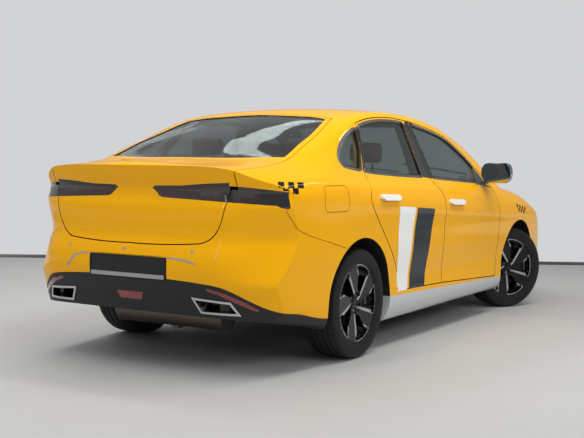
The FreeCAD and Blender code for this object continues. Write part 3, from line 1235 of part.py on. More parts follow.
def outline_sketch(body, label, role, corners):
    """A closed polygon whose corners are each bound to the sheet."""
    sketch = body.newObject("Sketcher::SketchObject", label)
    sketch.AttachmentSupport = [(plane_of(body, role), "")]
    sketch.MapMode = "FlatFace"
    points = [Vector(terms_value(a), terms_value(b), 0) for a, b in corners]
    for start, end in zip(points, points[1:] + points[:1]):
        sketch.addGeometry(Part.LineSegment(start, end), False)
    for i in range(len(points)):
        sketch.addConstraint(Sketcher.Constraint("Coincident", i, 2, (i + 1) % len(points), 1))
    for i, (a, b) in enumerate(corners):
        for kind, terms in (("DistanceX", a), ("DistanceY", b)):
            value = terms_value(terms)
            k = sketch.addConstraint(Sketcher.Constraint(kind, -1, 1, i, 1, value))
            sketch.setExpression("Constraints[%d]" % k, terms_words(terms))
    return sketch


def revolved(label, role, axis, corners):
    body = doc.addObject("PartDesign::Body", label)
    sketch = outline_sketch(body, label + "_profile", role, corners)
    turned = body.newObject("PartDesign::Revolution", label + "_revolution")
    turned.Profile = sketch
    turned.ReferenceAxis = (plane_of(body, axis), [""])
    turned.Angle = 360
    body.Tip = turned
    return body


def axial(share, alias="TyreWidth"):
    return ((alias, share),)


# Tyre: half of its section, outer side first, as (share of the width, share of its height)
tyre_half_shares = (
    (0.368, 0.004), (0.38, 0.145), (0.436, 0.17), (0.47, 0.3), (0.497, 0.48), (0.495, 0.64),
    (0.474, 0.8), (0.438, 0.91), (0.392, 0.965), (0.3, 0.992), (0.15, 1),
)
tyre_inside_shares = (
    (0.3, 0.006), (0.33, 0.12), (0.41, 0.24), (0.45, 0.48), (0.43, 0.78), (0.34, 0.87))


def tyre_point(side, point):
    return (axial(side * point[0]),
            (("BeadRadius", 1 - point[1]), ("TyreRadius", point[1])))


tyre_corners = [tyre_point(1, point) for point in tyre_half_shares]
tyre_corners += [tyre_point(-1, point) for point in reversed(tyre_half_shares)]
tyre_corners += [tyre_point(-1, point) for point in tyre_inside_shares]
tyre_corners += [tyre_point(1, point) for point in reversed(tyre_inside_shares)]
tyre = revolved("tyre", "YZ_Plane", "Y_Axis", tyre_corners)

# Rim: the barrel's section, then the dished face; outboard is -y
barrel_shares = (
    (-0.5, "FlangeRadius", 1), (-0.5, "FlangeRadius", 0.965), (-0.46, "FlangeRadius", 0.93),
    (-0.4, "BeadRadius", 0.965), (-0.19, "BeadRadius", 0.955), (-0.09, "BeadRadius", 0.875),
    (0.2, "BeadRadius", 0.875), (0.3, "BeadRadius", 0.965), (0.47, "BeadRadius", 0.965),
    (0.5, "FlangeRadius", 0.965), (0.5, "FlangeRadius", 1), (0.455, "FlangeRadius", 1),
    (0.44, "BeadRadius", 1), (0.29, "BeadRadius", 1), (0.19, "BeadRadius", 0.905),
    (-0.08, "BeadRadius", 0.905), (-0.19, "BeadRadius", 1), (-0.44, "BeadRadius", 1),
    (-0.455, "FlangeRadius", 1),
)
barrel_corners = [(axial(a, "RimWidth"), ((alias, b),)) for a, alias, b in barrel_shares]
barrel = revolved("barrel", "YZ_Plane", "Y_Axis", barrel_corners)

face_shares = (
    (-0.24, "HubBore", 1), (-0.36, "HubBore", 1), (-0.38, "HubRadius", 0.5),
    (-0.43, "HubRadius", 0.9), (-0.44, "FlangeRadius", 0.4), (-0.47, "FlangeRadius", 0.7),
    (-0.49, "FlangeRadius", 0.9), (-0.49, "FlangeRadius", 0.985), (-0.43, "FlangeRadius", 0.93),
    (-0.33, "FlangeRadius", 0.92), (-0.3, "FlangeRadius", 0.6), (-0.26, "HubRadius", 1.2),
    (-0.24, "HubRadius", 1),
)
face_corners = [(axial(a, "RimWidth"), ((alias, b),)) for a, alias, b in face_shares]
face = revolved("wheel_face", "YZ_Plane", "Y_Axis", face_corners)
spoke_count = 5
# Window between two spokes as (share of the flange radius, degrees), seen from outboard
window_shares = (
    (0.33, 40), (0.6, 46), (0.895, 50.5), (0.905, 58), (0.91, 72), (0.905, 87), (0.895, 93),
    (0.78, 89.5), (0.62, 85.5), (0.45, 83), (0.33, 80), (0.29, 60),
)
window_corners = []
for radius_share, degrees in window_shares:
    angle = math.radians(degrees)
    window_corners.append(((("FlangeRadius", round(radius_share * math.cos(angle), 4)),),
                           (("FlangeRadius", round(radius_share * math.sin(angle), 4)),)))
window_sketch = outline_sketch(face, "window", "XZ_Plane", window_corners)
window = face.newObject("PartDesign::Pocket", "window_pocket")
window.Profile = window_sketch
window.Type = 1
window.Midplane = True
windows = face.newObject("PartDesign::PolarPattern", "windows")
windows.Originals = [window]
windows.Axis = (plane_of(face, "Y_Axis"), [""])
windows.Angle = 360
windows.Occurrences = spoke_count
face.Tip = windows
wheel = gather("wheel", [barrel, face])

kingpin_share = "Sizes.TrackWidth / 2 - Sizes.KingpinInset"
for name, side in (("left", 1), ("right", -1)):
    turn = "180" if side == 1 else "0"
    for kind, source in (("tyre", tyre), ("rim", wheel)):
        item = node(gather("%s_rear_%s" % (kind, name), [source], "Part::Compound"),
                    "%s_rear_%s" % (kind, name))
        item.Placement.Rotation = FreeCAD.Rotation(Vector(0, 0, 1), 90 * (1 + side))
        item.setExpression("Placement.Base.x", station_words(0))
        item.setExpression("Placement.Base.y", "Sizes.TrackWidth / 2 * (%s)" % side)
        item.setExpression("Placement.Base.z", "Sizes.TyreRadius")
        item = node(gather("%s_front_%s" % (kind, name), [source], "Part::Compound"),
                    "%s_front_%s" % (kind, name))
        item.Placement.Rotation = FreeCAD.Rotation(Vector(0, 0, 1), 90)
        item.setExpression("Placement.Rotation.Angle", turn + " - Sizes.SteerAngle")
        item.setExpression("Placement.Base.x", station_words(1) +
                           " + Sizes.KingpinInset * sin(Sizes.SteerAngle) * (%s)" % side)
        item.setExpression("Placement.Base.y", "(" + kingpin_share +
                           " + Sizes.KingpinInset * cos(Sizes.SteerAngle)) * (%s)" % side)
        item.setExpression("Placement.Base.z", "Sizes.TyreRadius")


# Knuckle of the right wheel about the wheel's centre: outboard is -y, the kingpin is vertical
def local_rod(label, radius, place, way, length):
    """A round bar from a place in shares of the flange radius, along an axis letter."""
    item = doc.addObject("Part::Cylinder", label)
    item.setExpression("Radius", "Sizes.FlangeRadius * (%s)" % radius)
    item.setExpression("Height", "Sizes.FlangeRadius * (%s)" % length)
    axis = {"x": Vector(1, 0, 0), "y": Vector(0, 1, 0), "z": Vector(0, 0, 1)}[way]
    item.Placement.Rotation = FreeCAD.Rotation(Vector(0, 0, 1), axis)
    for letter, share in zip("xyz", place):
        item.setExpression("Placement.Base." + letter, "Sizes.FlangeRadius * (%s)" % share)
    return item


def local_block(label, low, high):
    item = doc.addObject("Part::Box", label)
    for name, i in (("Length", 0), ("Width", 1), ("Height", 2)):
        share = round(high[i] - low[i], 4)
        item.setExpression(name, "Sizes.FlangeRadius * (%s)" % share)
    for letter, share in zip("xyz", low):
        item.setExpression("Placement.Base." + letter, "Sizes.FlangeRadius * (%s)" % share)
    return item


bulb = doc.addObject("Part::Sphere", "bulb")
bulb.setExpression("Radius", "Sizes.FlangeRadius * 0.19")
bulb.setExpression("Placement.Base.y", "Sizes.KingpinInset")
knuckle_parts = [
    local_rod("hub_flange", 0.2975, (0, -0.1872, 0), "y", 0.0579),
    local_rod("pilot", 0.1372, (0, -0.2314, 0), "y", 0.0826),
    local_rod("brake_disc", 0.6446, (0, -0.1322, 0), "y", 0.0992),
    local_rod("hub_barrel", 0.1818, (0, -0.0413, 0), "y", 0.1818),
    bulb,
    local_rod("upright", 0.0868, (0, 0.1322, -0.4628), "z", 0.9256),
    local_block("calliper", (0.3967, -0.1818, -0.2562), (0.7355, 0.0496, 0.2562)),
    local_block("calliper_bridge", (0.0826, -0.0248, -0.1653), (0.4545, 0.0992, 0.1653)),
]
knuckle = gather("knuckle", knuckle_parts)
knuckle_mirror = mirror_of(knuckle, "knuckle_mirrored")
for name, side, source in (("left", 1, knuckle_mirror), ("right", -1, knuckle)):
    item = node(gather("knuckle_" + name, [source], "Part::Compound"), "knuckle_" + name)
    item.Placement.Rotation = FreeCAD.Rotation(Vector(0, 0, 1), 90)
    item.setExpression("Placement.Rotation.Angle", "0 - Sizes.SteerAngle")
    item.setExpression("Placement.Base.x", station_words(1) +
                       " + Sizes.KingpinInset * sin(Sizes.SteerAngle) * (%s)" % side)
    item.setExpression("Placement.Base.y", "(" + kingpin_share +
                       " + Sizes.KingpinInset * cos(Sizes.SteerAngle)) * (%s)" % side)
    item.setExpression("Placement.Base.z", "Sizes.TyreRadius")

# Front suspension, fixed to the body: the struts' yokes hold the knuckles above and below
wheel_x = 1
thin = ("FlangeRadius", 0.0372)
front_parts = [
    block("crossmember", (0.9556, -0.4725, 0.1422), (1.0596, 0.4725, 0.1786)),
    block("member_post", (0.9665, 0.4352, 0.1587), (1.0285, 0.4879, 0.2379)),
]
for side, name in ((1, "l"), (-1, "r")):
    front_parts += [
        rod("lower_arm_front_" + name, ("FlangeRadius", 0.0702),
            (1.0389, side * 0.4176, 0.1554), (1, side * 0.8077, 0.1257)),
        rod("lower_arm_rear_" + name, ("FlangeRadius", 0.062),
            (0.9592, side * 0.4176, 0.1554), (0.9973, side * 0.7692, 0.1283)),
        rod("lower_joint_" + name, ("FlangeRadius", 0.0826),
            (wheel_x, side * 0.8132, 0.1138), (wheel_x, side * 0.8132, 0.1407)),
        rod("upper_joint_" + name, ("FlangeRadius", 0.0826),
            (wheel_x, side * 0.8132, 0.2892), (wheel_x, side * 0.8132, 0.3108)),
        rod("yoke_" + name, ("FlangeRadius", 0.062),
            (wheel_x, side * 0.8132, 0.3009), (wheel_x, side * 0.6352, 0.3161)),
        rod("strut_" + name, ("FlangeRadius", 0.0992),
            (wheel_x, side * 0.6374, 0.2976), (wheel_x, side * 0.6154, 0.4683)),
        rod("drive_shaft_" + name, ("FlangeRadius", 0.0579),
            (wheel_x, side * 0.4341, 0.2149), (wheel_x, side * 0.7621, 0.2149)),
        rod("shaft_joint_" + name, ("FlangeRadius", 0.14),
            (wheel_x, side * 0.4374, 0.2149), (wheel_x, side * 0.5, 0.2149)),
    ]
front_parts.append(mirror_of(front_parts[1], "member_post_other"))
node(gather("front_suspension", front_parts), "front_suspension")

# Rear axle: a twist beam with trailing arms, hubs, discs, springs and dampers
rear_parts = [block("twist_beam", (0.0571, -0.6154, 0.1653), (0.0824, 0.6154, 0.205))]
for side, name in ((1, "l"), (-1, "r")):
    low_y, high_y = sorted((side * 0.5714, side * 0.6429))
    rear_parts += [
        block("trailing_arm_" + name, (-0.0405, low_y, 0.1733), (0.113, high_y, 0.2183)),
        rod("arm_bush_" + name, ("FlangeRadius", 0.157),
            (0.113, side * 0.5549, 0.1958), (0.113, side * 0.6593, 0.1958)),
        block("arm_bracket_" + name, (0.1025, low_y, 0.1958), (0.1215, high_y, 0.228)),
        rod("stub_" + name, ("FlangeRadius", 0.0785),
            (0, side * 0.6319, 0.2149), (0, side * 0.8681, 0.2149)),
        rod("rear_disc_" + name, ("FlangeRadius", 0.6033),
            (0, side * 0.8593, 0.2149), (0, side * 0.8813, 0.2149)),
        rod("rear_flange_" + name, ("FlangeRadius", 0.2975),
            (0, side * 0.8791, 0.2149), (0, side * 0.8981, 0.2149)),
        rod("rear_pilot_" + name, ("FlangeRadius", 0.1372),
            (0, side * 0.8901, 0.2149), (0, side * 0.9099, 0.2149)),
        rod("spring_" + name, ("FlangeRadius", 0.2273),
            (0.0299, side * 0.5495, 0.1733), (0.0299, side * 0.5495, 0.228)),
        rod("damper_" + name, ("FlangeRadius", 0.0992),
            (-0.0357, side * 0.6154, 0.1984), (-0.0578, side * 0.6154, 0.218)),
    ]
    low_y, high_y = sorted((side * 0.822, side * 0.8923))
    rear_parts.append(
        block("rear_calliper_" + name, (0.0335, low_y, 0.1852), (0.0553, high_y, 0.2513)))
    low_y, high_y = sorted((side * 0.6154, side * 0.8462))
    rear_parts.append(
        block("calliper_arm_" + name, (0.0027, low_y, 0.205), (0.0389, high_y, 0.2249)))
node(gather("rear_axle", rear_parts), "rear_axle")

# Engine with its gearbox, one block

engine_box = block("engine_box", (1.0599, -0.4337, 0.1788), (1.6192, 0.4337, 0.5225))
node(engine_box, "engine_block")


# Exhaust: centre pipe in the tunnel, a silencer across the tail, two tail pipes
exhaust_parts = [
    rod("centre_pipe", ("FlangeRadius", 0.1157), (0.9555, 0, 0.1323), (-0.5833, 0, 0.1323)),
    rod("silencer", ("FlangeRadius", 0.3099),
        (-0.5929, -0.4176, 0.1784), (-0.5929, 0.4176, 0.1784)),
]
for side, name in ((1, "l"), (-1, "r")):
    exhaust_parts.append(rod("tail_pipe_" + name, ("FlangeRadius", 0.1033),
                             (-0.5929, side * 0.3868, 0.1918),
                             (-0.8, side * 0.5536, 0.2397)))
node(gather("exhaust_system", exhaust_parts), "exhaust_system")

doc.recompute()
for item in doc.Objects:
    if "Invalid" in item.State or "Error" in item.State:
        raise RuntimeError("failed: " + item.Label)
os.makedirs("parts", exist_ok=True)
for item in nodes:
    shape = item.Shape
    if shape.isNull() or not shape.isValid():
        print("BAD", item.Label)
    box = shape.BoundBox
    print(item.Label, len(shape.Solids), round(shape.Volume / 1e6, 2),
          [round(v) for v in (box.XMin, box.XMax, box.YMin, box.YMax, box.ZMin, box.ZMax)])
    shape.exportStep("parts/%s.step" % item.Label)
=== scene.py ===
import bmesh
import bpy
import json
import math
from mathutils import Matrix, Vector
from mathutils.bvhtree import BVHTree


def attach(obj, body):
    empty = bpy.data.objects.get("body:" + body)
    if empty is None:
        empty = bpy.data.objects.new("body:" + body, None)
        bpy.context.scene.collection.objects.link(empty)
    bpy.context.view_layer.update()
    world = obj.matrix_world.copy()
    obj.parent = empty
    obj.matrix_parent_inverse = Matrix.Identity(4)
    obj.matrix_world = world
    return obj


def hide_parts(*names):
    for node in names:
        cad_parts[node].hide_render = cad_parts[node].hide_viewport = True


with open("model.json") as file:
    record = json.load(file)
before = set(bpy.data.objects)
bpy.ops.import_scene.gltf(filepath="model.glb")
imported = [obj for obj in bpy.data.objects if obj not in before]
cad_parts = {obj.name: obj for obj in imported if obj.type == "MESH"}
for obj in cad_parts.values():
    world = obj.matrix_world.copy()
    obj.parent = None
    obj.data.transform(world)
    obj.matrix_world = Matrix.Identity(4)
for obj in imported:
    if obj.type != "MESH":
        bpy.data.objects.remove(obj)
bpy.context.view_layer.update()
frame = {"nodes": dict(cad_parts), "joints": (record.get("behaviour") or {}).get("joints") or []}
nodes = frame["nodes"]
joints = {joint["name"]: joint for joint in frame["joints"]}
mm = 0.001
print("frame loaded with", len(nodes), "nodes")


# Camera at the photograph's angle
view = {
    "place": (-6.6155, -3.591, 1.124),
    "yaw": 31.09, "pitch": -3.01, "roll": 0.79,      # degrees
    "lens": 62.8, "sensor": 36.0,                    # mm
    "width": 584, "height": 438,                     # photograph, px
}


def cameraAxes():
    yaw, pitch, roll = (math.radians(view[key]) for key in ("yaw", "pitch", "roll"))
    ahead = Vector((math.cos(pitch) * math.cos(yaw), math.cos(pitch) * math.sin(yaw), math.sin(pitch)))
    right = ahead.cross(Vector((0, 0, 1))).normalized()
    up = right.cross(ahead)
    turned = right * math.cos(roll) + up * math.sin(roll)
    return turned, up * math.cos(roll) - right * math.sin(roll), ahead


cameraRight, cameraUp, cameraAhead = cameraAxes()
focalPixels = view["lens"] / view["sensor"] * view["width"]
cameraData = bpy.data.cameras.new("photoCamera")
cameraData.lens = view["lens"]
cameraData.sensor_width = view["sensor"]
cameraObject = bpy.data.objects.new("photoCamera", cameraData)
turn = Matrix((cameraRight, cameraUp, -cameraAhead)).transposed().to_4x4()
cameraObject.matrix_world = Matrix.Translation(view["place"]) @ turn
bpy.context.collection.objects.link(cameraObject)
scene = bpy.context.scene
scene.camera = cameraObject
scene.view_settings.view_transform = "Standard"
print("camera set")


# Small tools for materials
def linear(hexText):      # sRGB hex to linear RGBA
    values = [int(hexText[i:i + 2], 16) / 255 for i in (1, 3, 5)]
    curve = [v / 12.92 if v <= 0.04045 else ((v + 0.055) / 1.055) ** 2.4 for v in values]
    return (*curve, 1.0)


def addNode(tree, kind, settings=None, links=None, feeds=None):
    node = tree.nodes.new(kind)
    for key, value in (settings or {}).items():
        if isinstance(key, str) and hasattr(node, key) and key not in node.inputs:
            setattr(node, key, value)
        else:
            node.inputs[key].default_value = value
    for key, source in (links or {}).items():
        tree.links.new(source, node.inputs[key])
    for key, target in (feeds or {}).items():
        tree.links.new(node.outputs[key], target)
    return node


def startMaterial(name, settings):      # one Principled shader and the object's own coordinates
    material = bpy.data.materials.new(name)
    material.use_nodes = True
    tree = material.node_tree
    shader = tree.nodes["Principled BSDF"]
    for key, value in settings.items():
        shader.inputs[key].default_value = value
    place = addNode(tree, "ShaderNodeTexCoord").outputs["Object"]
    return material, tree, shader, place


def addNoise(tree, place, size, detail=2.0):      # an even mottle, size in m
    return addNode(tree, "ShaderNodeTexNoise", {"Scale": 1 / size, "Detail": detail},
                   {"Vector": place}).outputs["Fac"]


def addBump(tree, height, depth, socket):      # relief, depth in m
    addNode(tree, "ShaderNodeBump", {"Distance": depth}, {"Height": height}, {"Normal": socket})


def addMix(tree, share, first, second, socket):      # one colour turns into the other
    addNode(tree, "ShaderNodeMix", {"data_type": "RGBA", 6: first, 7: second}, {0: share}, {2: socket})


# The line along the cabin's middle, in m, that tells a panel's lined back from its face
cabinCore = {"rear": -1.75, "front": 1.5, "height": 0.45, "faceFrom": 0.3, "backFrom": 0.26}


def innerSide(tree, place):      # 1 where a panel's face looks into the car, 0 where it looks out
    parts = addNode(tree, "ShaderNodeSeparateXYZ", None, {"Vector": place})
    along = addNode(tree, "ShaderNodeClamp", {"Min": cabinCore["rear"], "Max": cabinCore["front"]},
                    {"Value": parts.outputs["X"]})
    core = addNode(tree, "ShaderNodeCombineXYZ", {"Z": cabinCore["height"]},
                   {"X": along.outputs["Result"]})
    outward = addNode(tree, "ShaderNodeVectorMath", {"operation": "SUBTRACT"},
                      {0: place, 1: core.outputs["Vector"]})
    surface = addNode(tree, "ShaderNodeTexCoord")
    facing = addNode(tree, "ShaderNodeVectorMath", {"operation": "DOT_PRODUCT"},
                     {0: outward.outputs["Vector"], 1: surface.outputs["Normal"]})
    return addNode(tree, "ShaderNodeMapRange", {
        "From Min": cabinCore["faceFrom"], "From Max": cabinCore["backFrom"],
        "To Min": 0.0, "To Max": 1.0}, {"Value": facing.outputs["Value"]}).outputs["Result"]


# Materials. Each is named for what the real one is; the grey trim also draws one painted highlight
paint = {
    "yellow": "#F6B000", "lining": "#2A2B2D",
    "base": 0.5, "coat": 0.8, "coatRoughness": 0.025, "coatIor": 1.38,
    "peel": 2.2 * mm, "peelDepth": 0.004 * mm,
}


def clearcoatPaint(name, colour, lined=True):
    # Solid colour under lacquer: even and deep, with a faint orange peel in its reflections
    material, tree, shader, place = startMaterial(name, {
        "Base Color": linear(colour), "Roughness": paint["base"], "IOR": 1.5, "Specular IOR Level": 0.0,
        "Coat Weight": paint["coat"], "Coat Roughness": paint["coatRoughness"],
        "Coat IOR": paint["coatIor"]})
    if lined:      # the panel's back has a dull dark lining
        inside = innerSide(tree, place)
        addMix(tree, inside, linear(colour), linear(paint["lining"]), shader.inputs["Base Color"])
        addNode(tree, "ShaderNodeMath", {"operation": "SUBTRACT", "use_clamp": True, 0: paint["coat"]},
                {1: inside}, {"Value": shader.inputs["Coat Weight"]})
    addBump(tree, addNoise(tree, place, paint["peel"]), paint["peelDepth"], shader.inputs["Coat Normal"])
    return material


def mouldedPlastic(name, colour, roughness, grain=0.8 * mm, depth=0.05 * mm):
    # Moulded ABS or polypropylene: the mould's spark grain breaks up its sheen
    material, tree, shader, place = startMaterial(name, {
        "Base Color": linear(colour), "Roughness": roughness, "IOR": 1.47})
    addBump(tree, addNoise(tree, place, grain), depth, shader.inputs["Normal"])
    return material


def glossPlastic(name, colour, roughness=0.08, lacquer=0.6):
    # Polished acrylic: no grain, only the faint flow of the mould, and a hard sheen
    material, tree, shader, place = startMaterial(name, {
        "Base Color": linear(colour), "Roughness": roughness, "IOR": 1.49,
        "Coat Weight": lacquer, "Coat Roughness": 0.02, "Specular IOR Level": 0.5 * lacquer + 0.15})
    addBump(tree, addNoise(tree, place, 6 * mm), 0.003 * mm, shader.inputs["Coat Normal"])
    return material


def tintedGlass(name, colour):
    # Toughened float glass, tinted through, with the faint roll wave of its furnace
    material, tree, shader, place = startMaterial(name, {
        "Base Color": linear(colour), "Roughness": 0.0, "IOR": 1.45, "Transmission Weight": 1.0})
    addBump(tree, addNoise(tree, place, 60 * mm, 0.0), 0.02 * mm, shader.inputs["Normal"])
    return material


def metal(name, colour, roughness, grain=1.0 * mm, depth=0.01 * mm):
    # Bare, cast or plated metal; the grain is what the tool or the mould left
    material, tree, shader, place = startMaterial(name, {
        "Base Color": linear(colour), "Metallic": 1.0, "Roughness": roughness})
    addBump(tree, addNoise(tree, place, grain), depth, shader.inputs["Normal"])
    return material


def sidewallRubber(name, colour, dust):
    # Carbon-black rubber: matte, with faint dust in a coarse mottle
    material, tree, shader, place = startMaterial(name, {"Roughness": 0.72, "IOR": 1.52})
    mottle = addNoise(tree, place, 40 * mm, 4.0)
    addMix(tree, mottle, linear(colour), linear(dust), shader.inputs["Base Color"])
    addBump(tree, addNoise(tree, place, 1.2 * mm), 0.08 * mm, shader.inputs["Normal"])
    return material


def grainedLeather(name, colour, shade):
    # Pigmented leather: pebbled grain, drawn 2.5 mm wide so that it shows, and worn in patches
    material, tree, shader, place = startMaterial(name, {
        "Roughness": 0.48, "IOR": 1.45, "Sheen Weight": 0.1})
    wear = addNoise(tree, place, 50 * mm, 3.0)
    addMix(tree, wear, linear(colour), linear(shade), shader.inputs["Base Color"])
    pebble = addNode(tree, "ShaderNodeTexVoronoi", {"Scale": 1 / (2.5 * mm)}, {"Vector": place})
    addBump(tree, pebble.outputs["Distance"], 0.25 * mm, shader.inputs["Normal"])
    return material


def wovenCloth(name, colour, shade):
    # Woven shelf cloth; its 0.5 mm thread is drawn 2 mm wide so that it shows
    material, tree, shader, place = startMaterial(name, {"Roughness": 0.95, "Sheen Weight": 0.3})
    fibre = addNoise(tree, place, 2 * mm, 3.0)
    addMix(tree, fibre, linear(colour), linear(shade), shader.inputs["Base Color"])
    addBump(tree, fibre, 0.4 * mm, shader.inputs["Normal"])
    return material


def lensPlastic(name, colour, prism=9 * mm):
    # Polycarbonate lens over dark optics, with fine upright prisms moulded inside
    material, tree, shader, place = startMaterial(name, {
        "Base Color": linear(colour), "Roughness": 0.12, "IOR": 1.58,
        "Coat Weight": 1.0, "Coat Roughness": 0.02})
    flutes = addNode(tree, "ShaderNodeTexWave", {"Scale": 1 / prism, "bands_direction": "Y"},
                     {"Vector": place})
    addBump(tree, flutes.outputs["Fac"], 0.25 * mm, shader.inputs["Normal"])
    return material


yellow = clearcoatPaint("taxiYellowLacquer", paint["yellow"])
silverWhite = clearcoatPaint("skirtSilverLacquer", "#C3C7C7", lined=False)
white = clearcoatPaint("whiteLacquer", "#EEEEEC", lined=False)
charcoalFilm = clearcoatPaint("charcoalVinylFilm", "#2C3036", lined=False)
blackFilm = clearcoatPaint("blackVinylFilm", "#121314", lined=False)
whiteFilm = clearcoatPaint("whiteVinylFilm", "#F1F1EE", lined=False)
pianoBlack = glossPlastic("pianoBlackPlastic", "#0B0C0D")
grainedBlack = mouldedPlastic("grainedBlackPlastic", "#1B1C1E", 0.55)
rubberBlack = mouldedPlastic("extrudedSealRubber", "#0D0E0F", 0.7, 1 * mm, 0.03 * mm)
valanceGrey = mouldedPlastic("grainedCharcoalPlastic", "#17191B", 0.5, 1.2 * mm, 0.09 * mm)
cabinPlastic = mouldedPlastic("softTouchDashPlastic", "#26272A", 0.6, 1.5 * mm, 0.08 * mm)
linerBlack = mouldedPlastic("archLinerPlastic", "#0F1011", 0.85, 3 * mm, 0.3 * mm)
platePlastic = mouldedPlastic("blankPlateSheet", "#17181A", 0.3, 0.5 * mm, 0.01 * mm)
# Grey of the plate's strip and the sensors; the same grey also paints the highlight on the plate recess's
# pressed edge
greyTrimAndHighlight = mouldedPlastic("silverGreyTrim", "#9A9C9C", 0.35, 0.6 * mm, 0.02 * mm)
darkGlass = tintedGlass("tintedRearGlass", "#A3AEAC")
clearGlass = tintedGlass("tintedSideGlass", "#BCC7C5")
lampLens = lensPlastic("smokedLampLens", "#0C0B0C")
lampRed = lensPlastic("maroonLightGuide", "#33100F")
lampGrey = lensPlastic("frostedLightGuide", "#3A3436")
reflexRed = lensPlastic("redReflexLens", "#7E0C16")
headlampLens = lensPlastic("clearHeadlampLens", "#A8B0B6")
satinTrim = metal("satinWindowTrim", "#94989A", 0.42)
chrome = metal("platedChrome", "#C9CCCE", 0.12)
machined = metal("machinedAlloy", "#C4C6C8", 0.3, 0.6 * mm, 0.01 * mm)
blackAlloy = glossPlastic("glossBlackAlloy", "#090A0B", 0.22, 0.2)
castIron = metal("castIron", "#4A4744", 0.62, 2 * mm, 0.15 * mm)
castAlloy = metal("sandCastAlloy", "#77787A", 0.55, 2.5 * mm, 0.15 * mm)
exhaustSteel = metal("heatedExhaustSteel", "#6A625A", 0.42)
underPaint = mouldedPlastic("underbodyCoating", "#17181A", 0.8, 4 * mm, 0.3 * mm)
tyreRubber = sidewallRubber("tyreRubber", "#0F1011", "#1B1C1D")
seatLeather = grainedLeather("charcoalSeatLeather", "#211F1F", "#2C2928")
tanLeather = grainedLeather("tanHeadrestLeather", "#9A6B47", "#83583A")
roofCloth = wovenCloth("parcelShelfCloth", "#202124", "#2A2B2E")
mirrorGlass = metal("mirrorGlass", "#B9BFC2", 0.02)

nodeMaterials = {
    yellow: "tailgate_shell bonnet roof_panel bumper_front bumper_rear front_wings body_sides "
            "door_front_left_shell door_front_right_shell door_rear_left_shell door_rear_right_shell",
    silverWhite: "side_skirts",
    white: "handle_front_left handle_front_right handle_rear_left handle_rear_right",
    darkGlass: "tailgate_glass",
    clearGlass: "fixed_glass door_front_left_glass door_front_right_glass "
                "door_rear_left_glass door_rear_right_glass",
    lampLens: "tailgate_lamps tail_lamps_outer",
    headlampLens: "headlamps",
    reflexRed: "rear_reflectors",
    grainedBlack: "cowl_panel grille number_plate seat_frames",
    valanceGrey: "valance_rear",
    linerBlack: "arch_liners",
    cabinPlastic: "dashboard",
    pianoBlack: "mirror_left mirror_right",
    chrome: "exhaust_finishers",
    exhaustSteel: "exhaust_system",
    castAlloy: "engine_block",
    castIron: "knuckle_left knuckle_right rear_axle front_suspension",
    blackAlloy: "rim_front_left rim_front_right rim_rear_left rim_rear_right",
    tyreRubber: "tyre_front_left tyre_front_right tyre_rear_left tyre_rear_right",
    underPaint: "floor_pan",
    roofCloth: "parcel_shelf",
    seatLeather: "front_cushions front_backrests rear_cushion rear_backrest steering_wheel",
    tanLeather: "headrests",
}
for material, names in nodeMaterials.items():
    for name in names.split():
        nodes[name].data.materials.clear()
        nodes[name].data.materials.append(material)
print("materials set on the frame")


# Small tools for meshes. Points are in metres in the car's frame
def addPiece(name, points, faces, body, material, slot, crease=35):
    mesh = bpy.data.meshes.new(name)
    mesh.from_pydata([tuple(point) for point in points], [], faces)
    materials = material if isinstance(material, list) else [material]
    for each in materials:
        mesh.materials.append(each)
    mesh.update()
    mesh.shade_smooth()
    mesh.set_sharp_from_angle(angle=math.radians(crease))
    piece = bpy.data.objects.new(name, mesh)
    bpy.context.collection.objects.link(piece)
    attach(piece, body)
    return piece


def stackFaces(count, levels, start=0):
    # A closed piece of rings, each of as many points, from its foot to its lid
    faces = []
    for a in range(start, start + (levels - 1) * count, count):
        for i in range(count):
            j = (i + 1) % count
            faces.append([a + i, a + j, a + count + j, a + count + i])
    faces.append([start + (levels - 1) * count + i for i in range(count)])
    faces.append([start + i for i in reversed(range(count))])
    return faces


def treeOf(names):
    mesh = bmesh.new()
    for name in names.split():
        mesh.from_mesh(nodes[name].data)
    tree = BVHTree.FromBMesh(mesh)
    mesh.free()
    return tree


def photoRay(point):      # through a pixel of the photograph
    px, py = point
    ahead = cameraAhead + cameraRight * ((px - view["width"] / 2) / focalPixels)
    ahead = (ahead + cameraUp * ((view["height"] / 2 - py) / focalPixels)).normalized()
    return Vector(view["place"]), ahead


def sideRay(point):      # (x, z) in mm, from the car's right
    return Vector((point[0] * mm, -1.6, point[1] * mm)), Vector((0, 1, 0))


def noseRay(point):      # (y, z) in mm, from the front
    return Vector((3.2, point[0] * mm, point[1] * mm)), Vector((-1, 0, 0))


def flatGrid(outline, step):
    # The outline's face, cut by a grid so that it can follow a curved panel
    grid = bmesh.new()
    corners = [grid.verts.new((a, b, 0)) for a, b in outline]
    grid.faces.new(corners)
    for axis in (0, 1):
        low = min(point[axis] for point in outline)
        high = max(point[axis] for point in outline)
        count = int((high - low) / step)
        for i in range(1, count + 1):
            level = [0, 0, 0]
            level[axis] = low + (high - low) * i / (count + 1)
            normal = [0, 0, 0]
            normal[axis] = 1
            bmesh.ops.bisect_plane(grid, geom=grid.verts[:] + grid.edges[:] + grid.faces[:],
                                   plane_co=level, plane_no=normal)
    bmesh.ops.triangulate(grid, faces=[face for face in grid.faces if len(face.verts) > 4])
    grid.normal_update()
    return grid


lay = {      # thin pieces on panels
    "sunk": 0.3 * mm,                 # how far the back lies in the panel
    "deepest": 0.16,                  # m past the nearest hit that still belongs to the panel
    "grazing": 0.25,                  # least turn of the panel to the ray
}


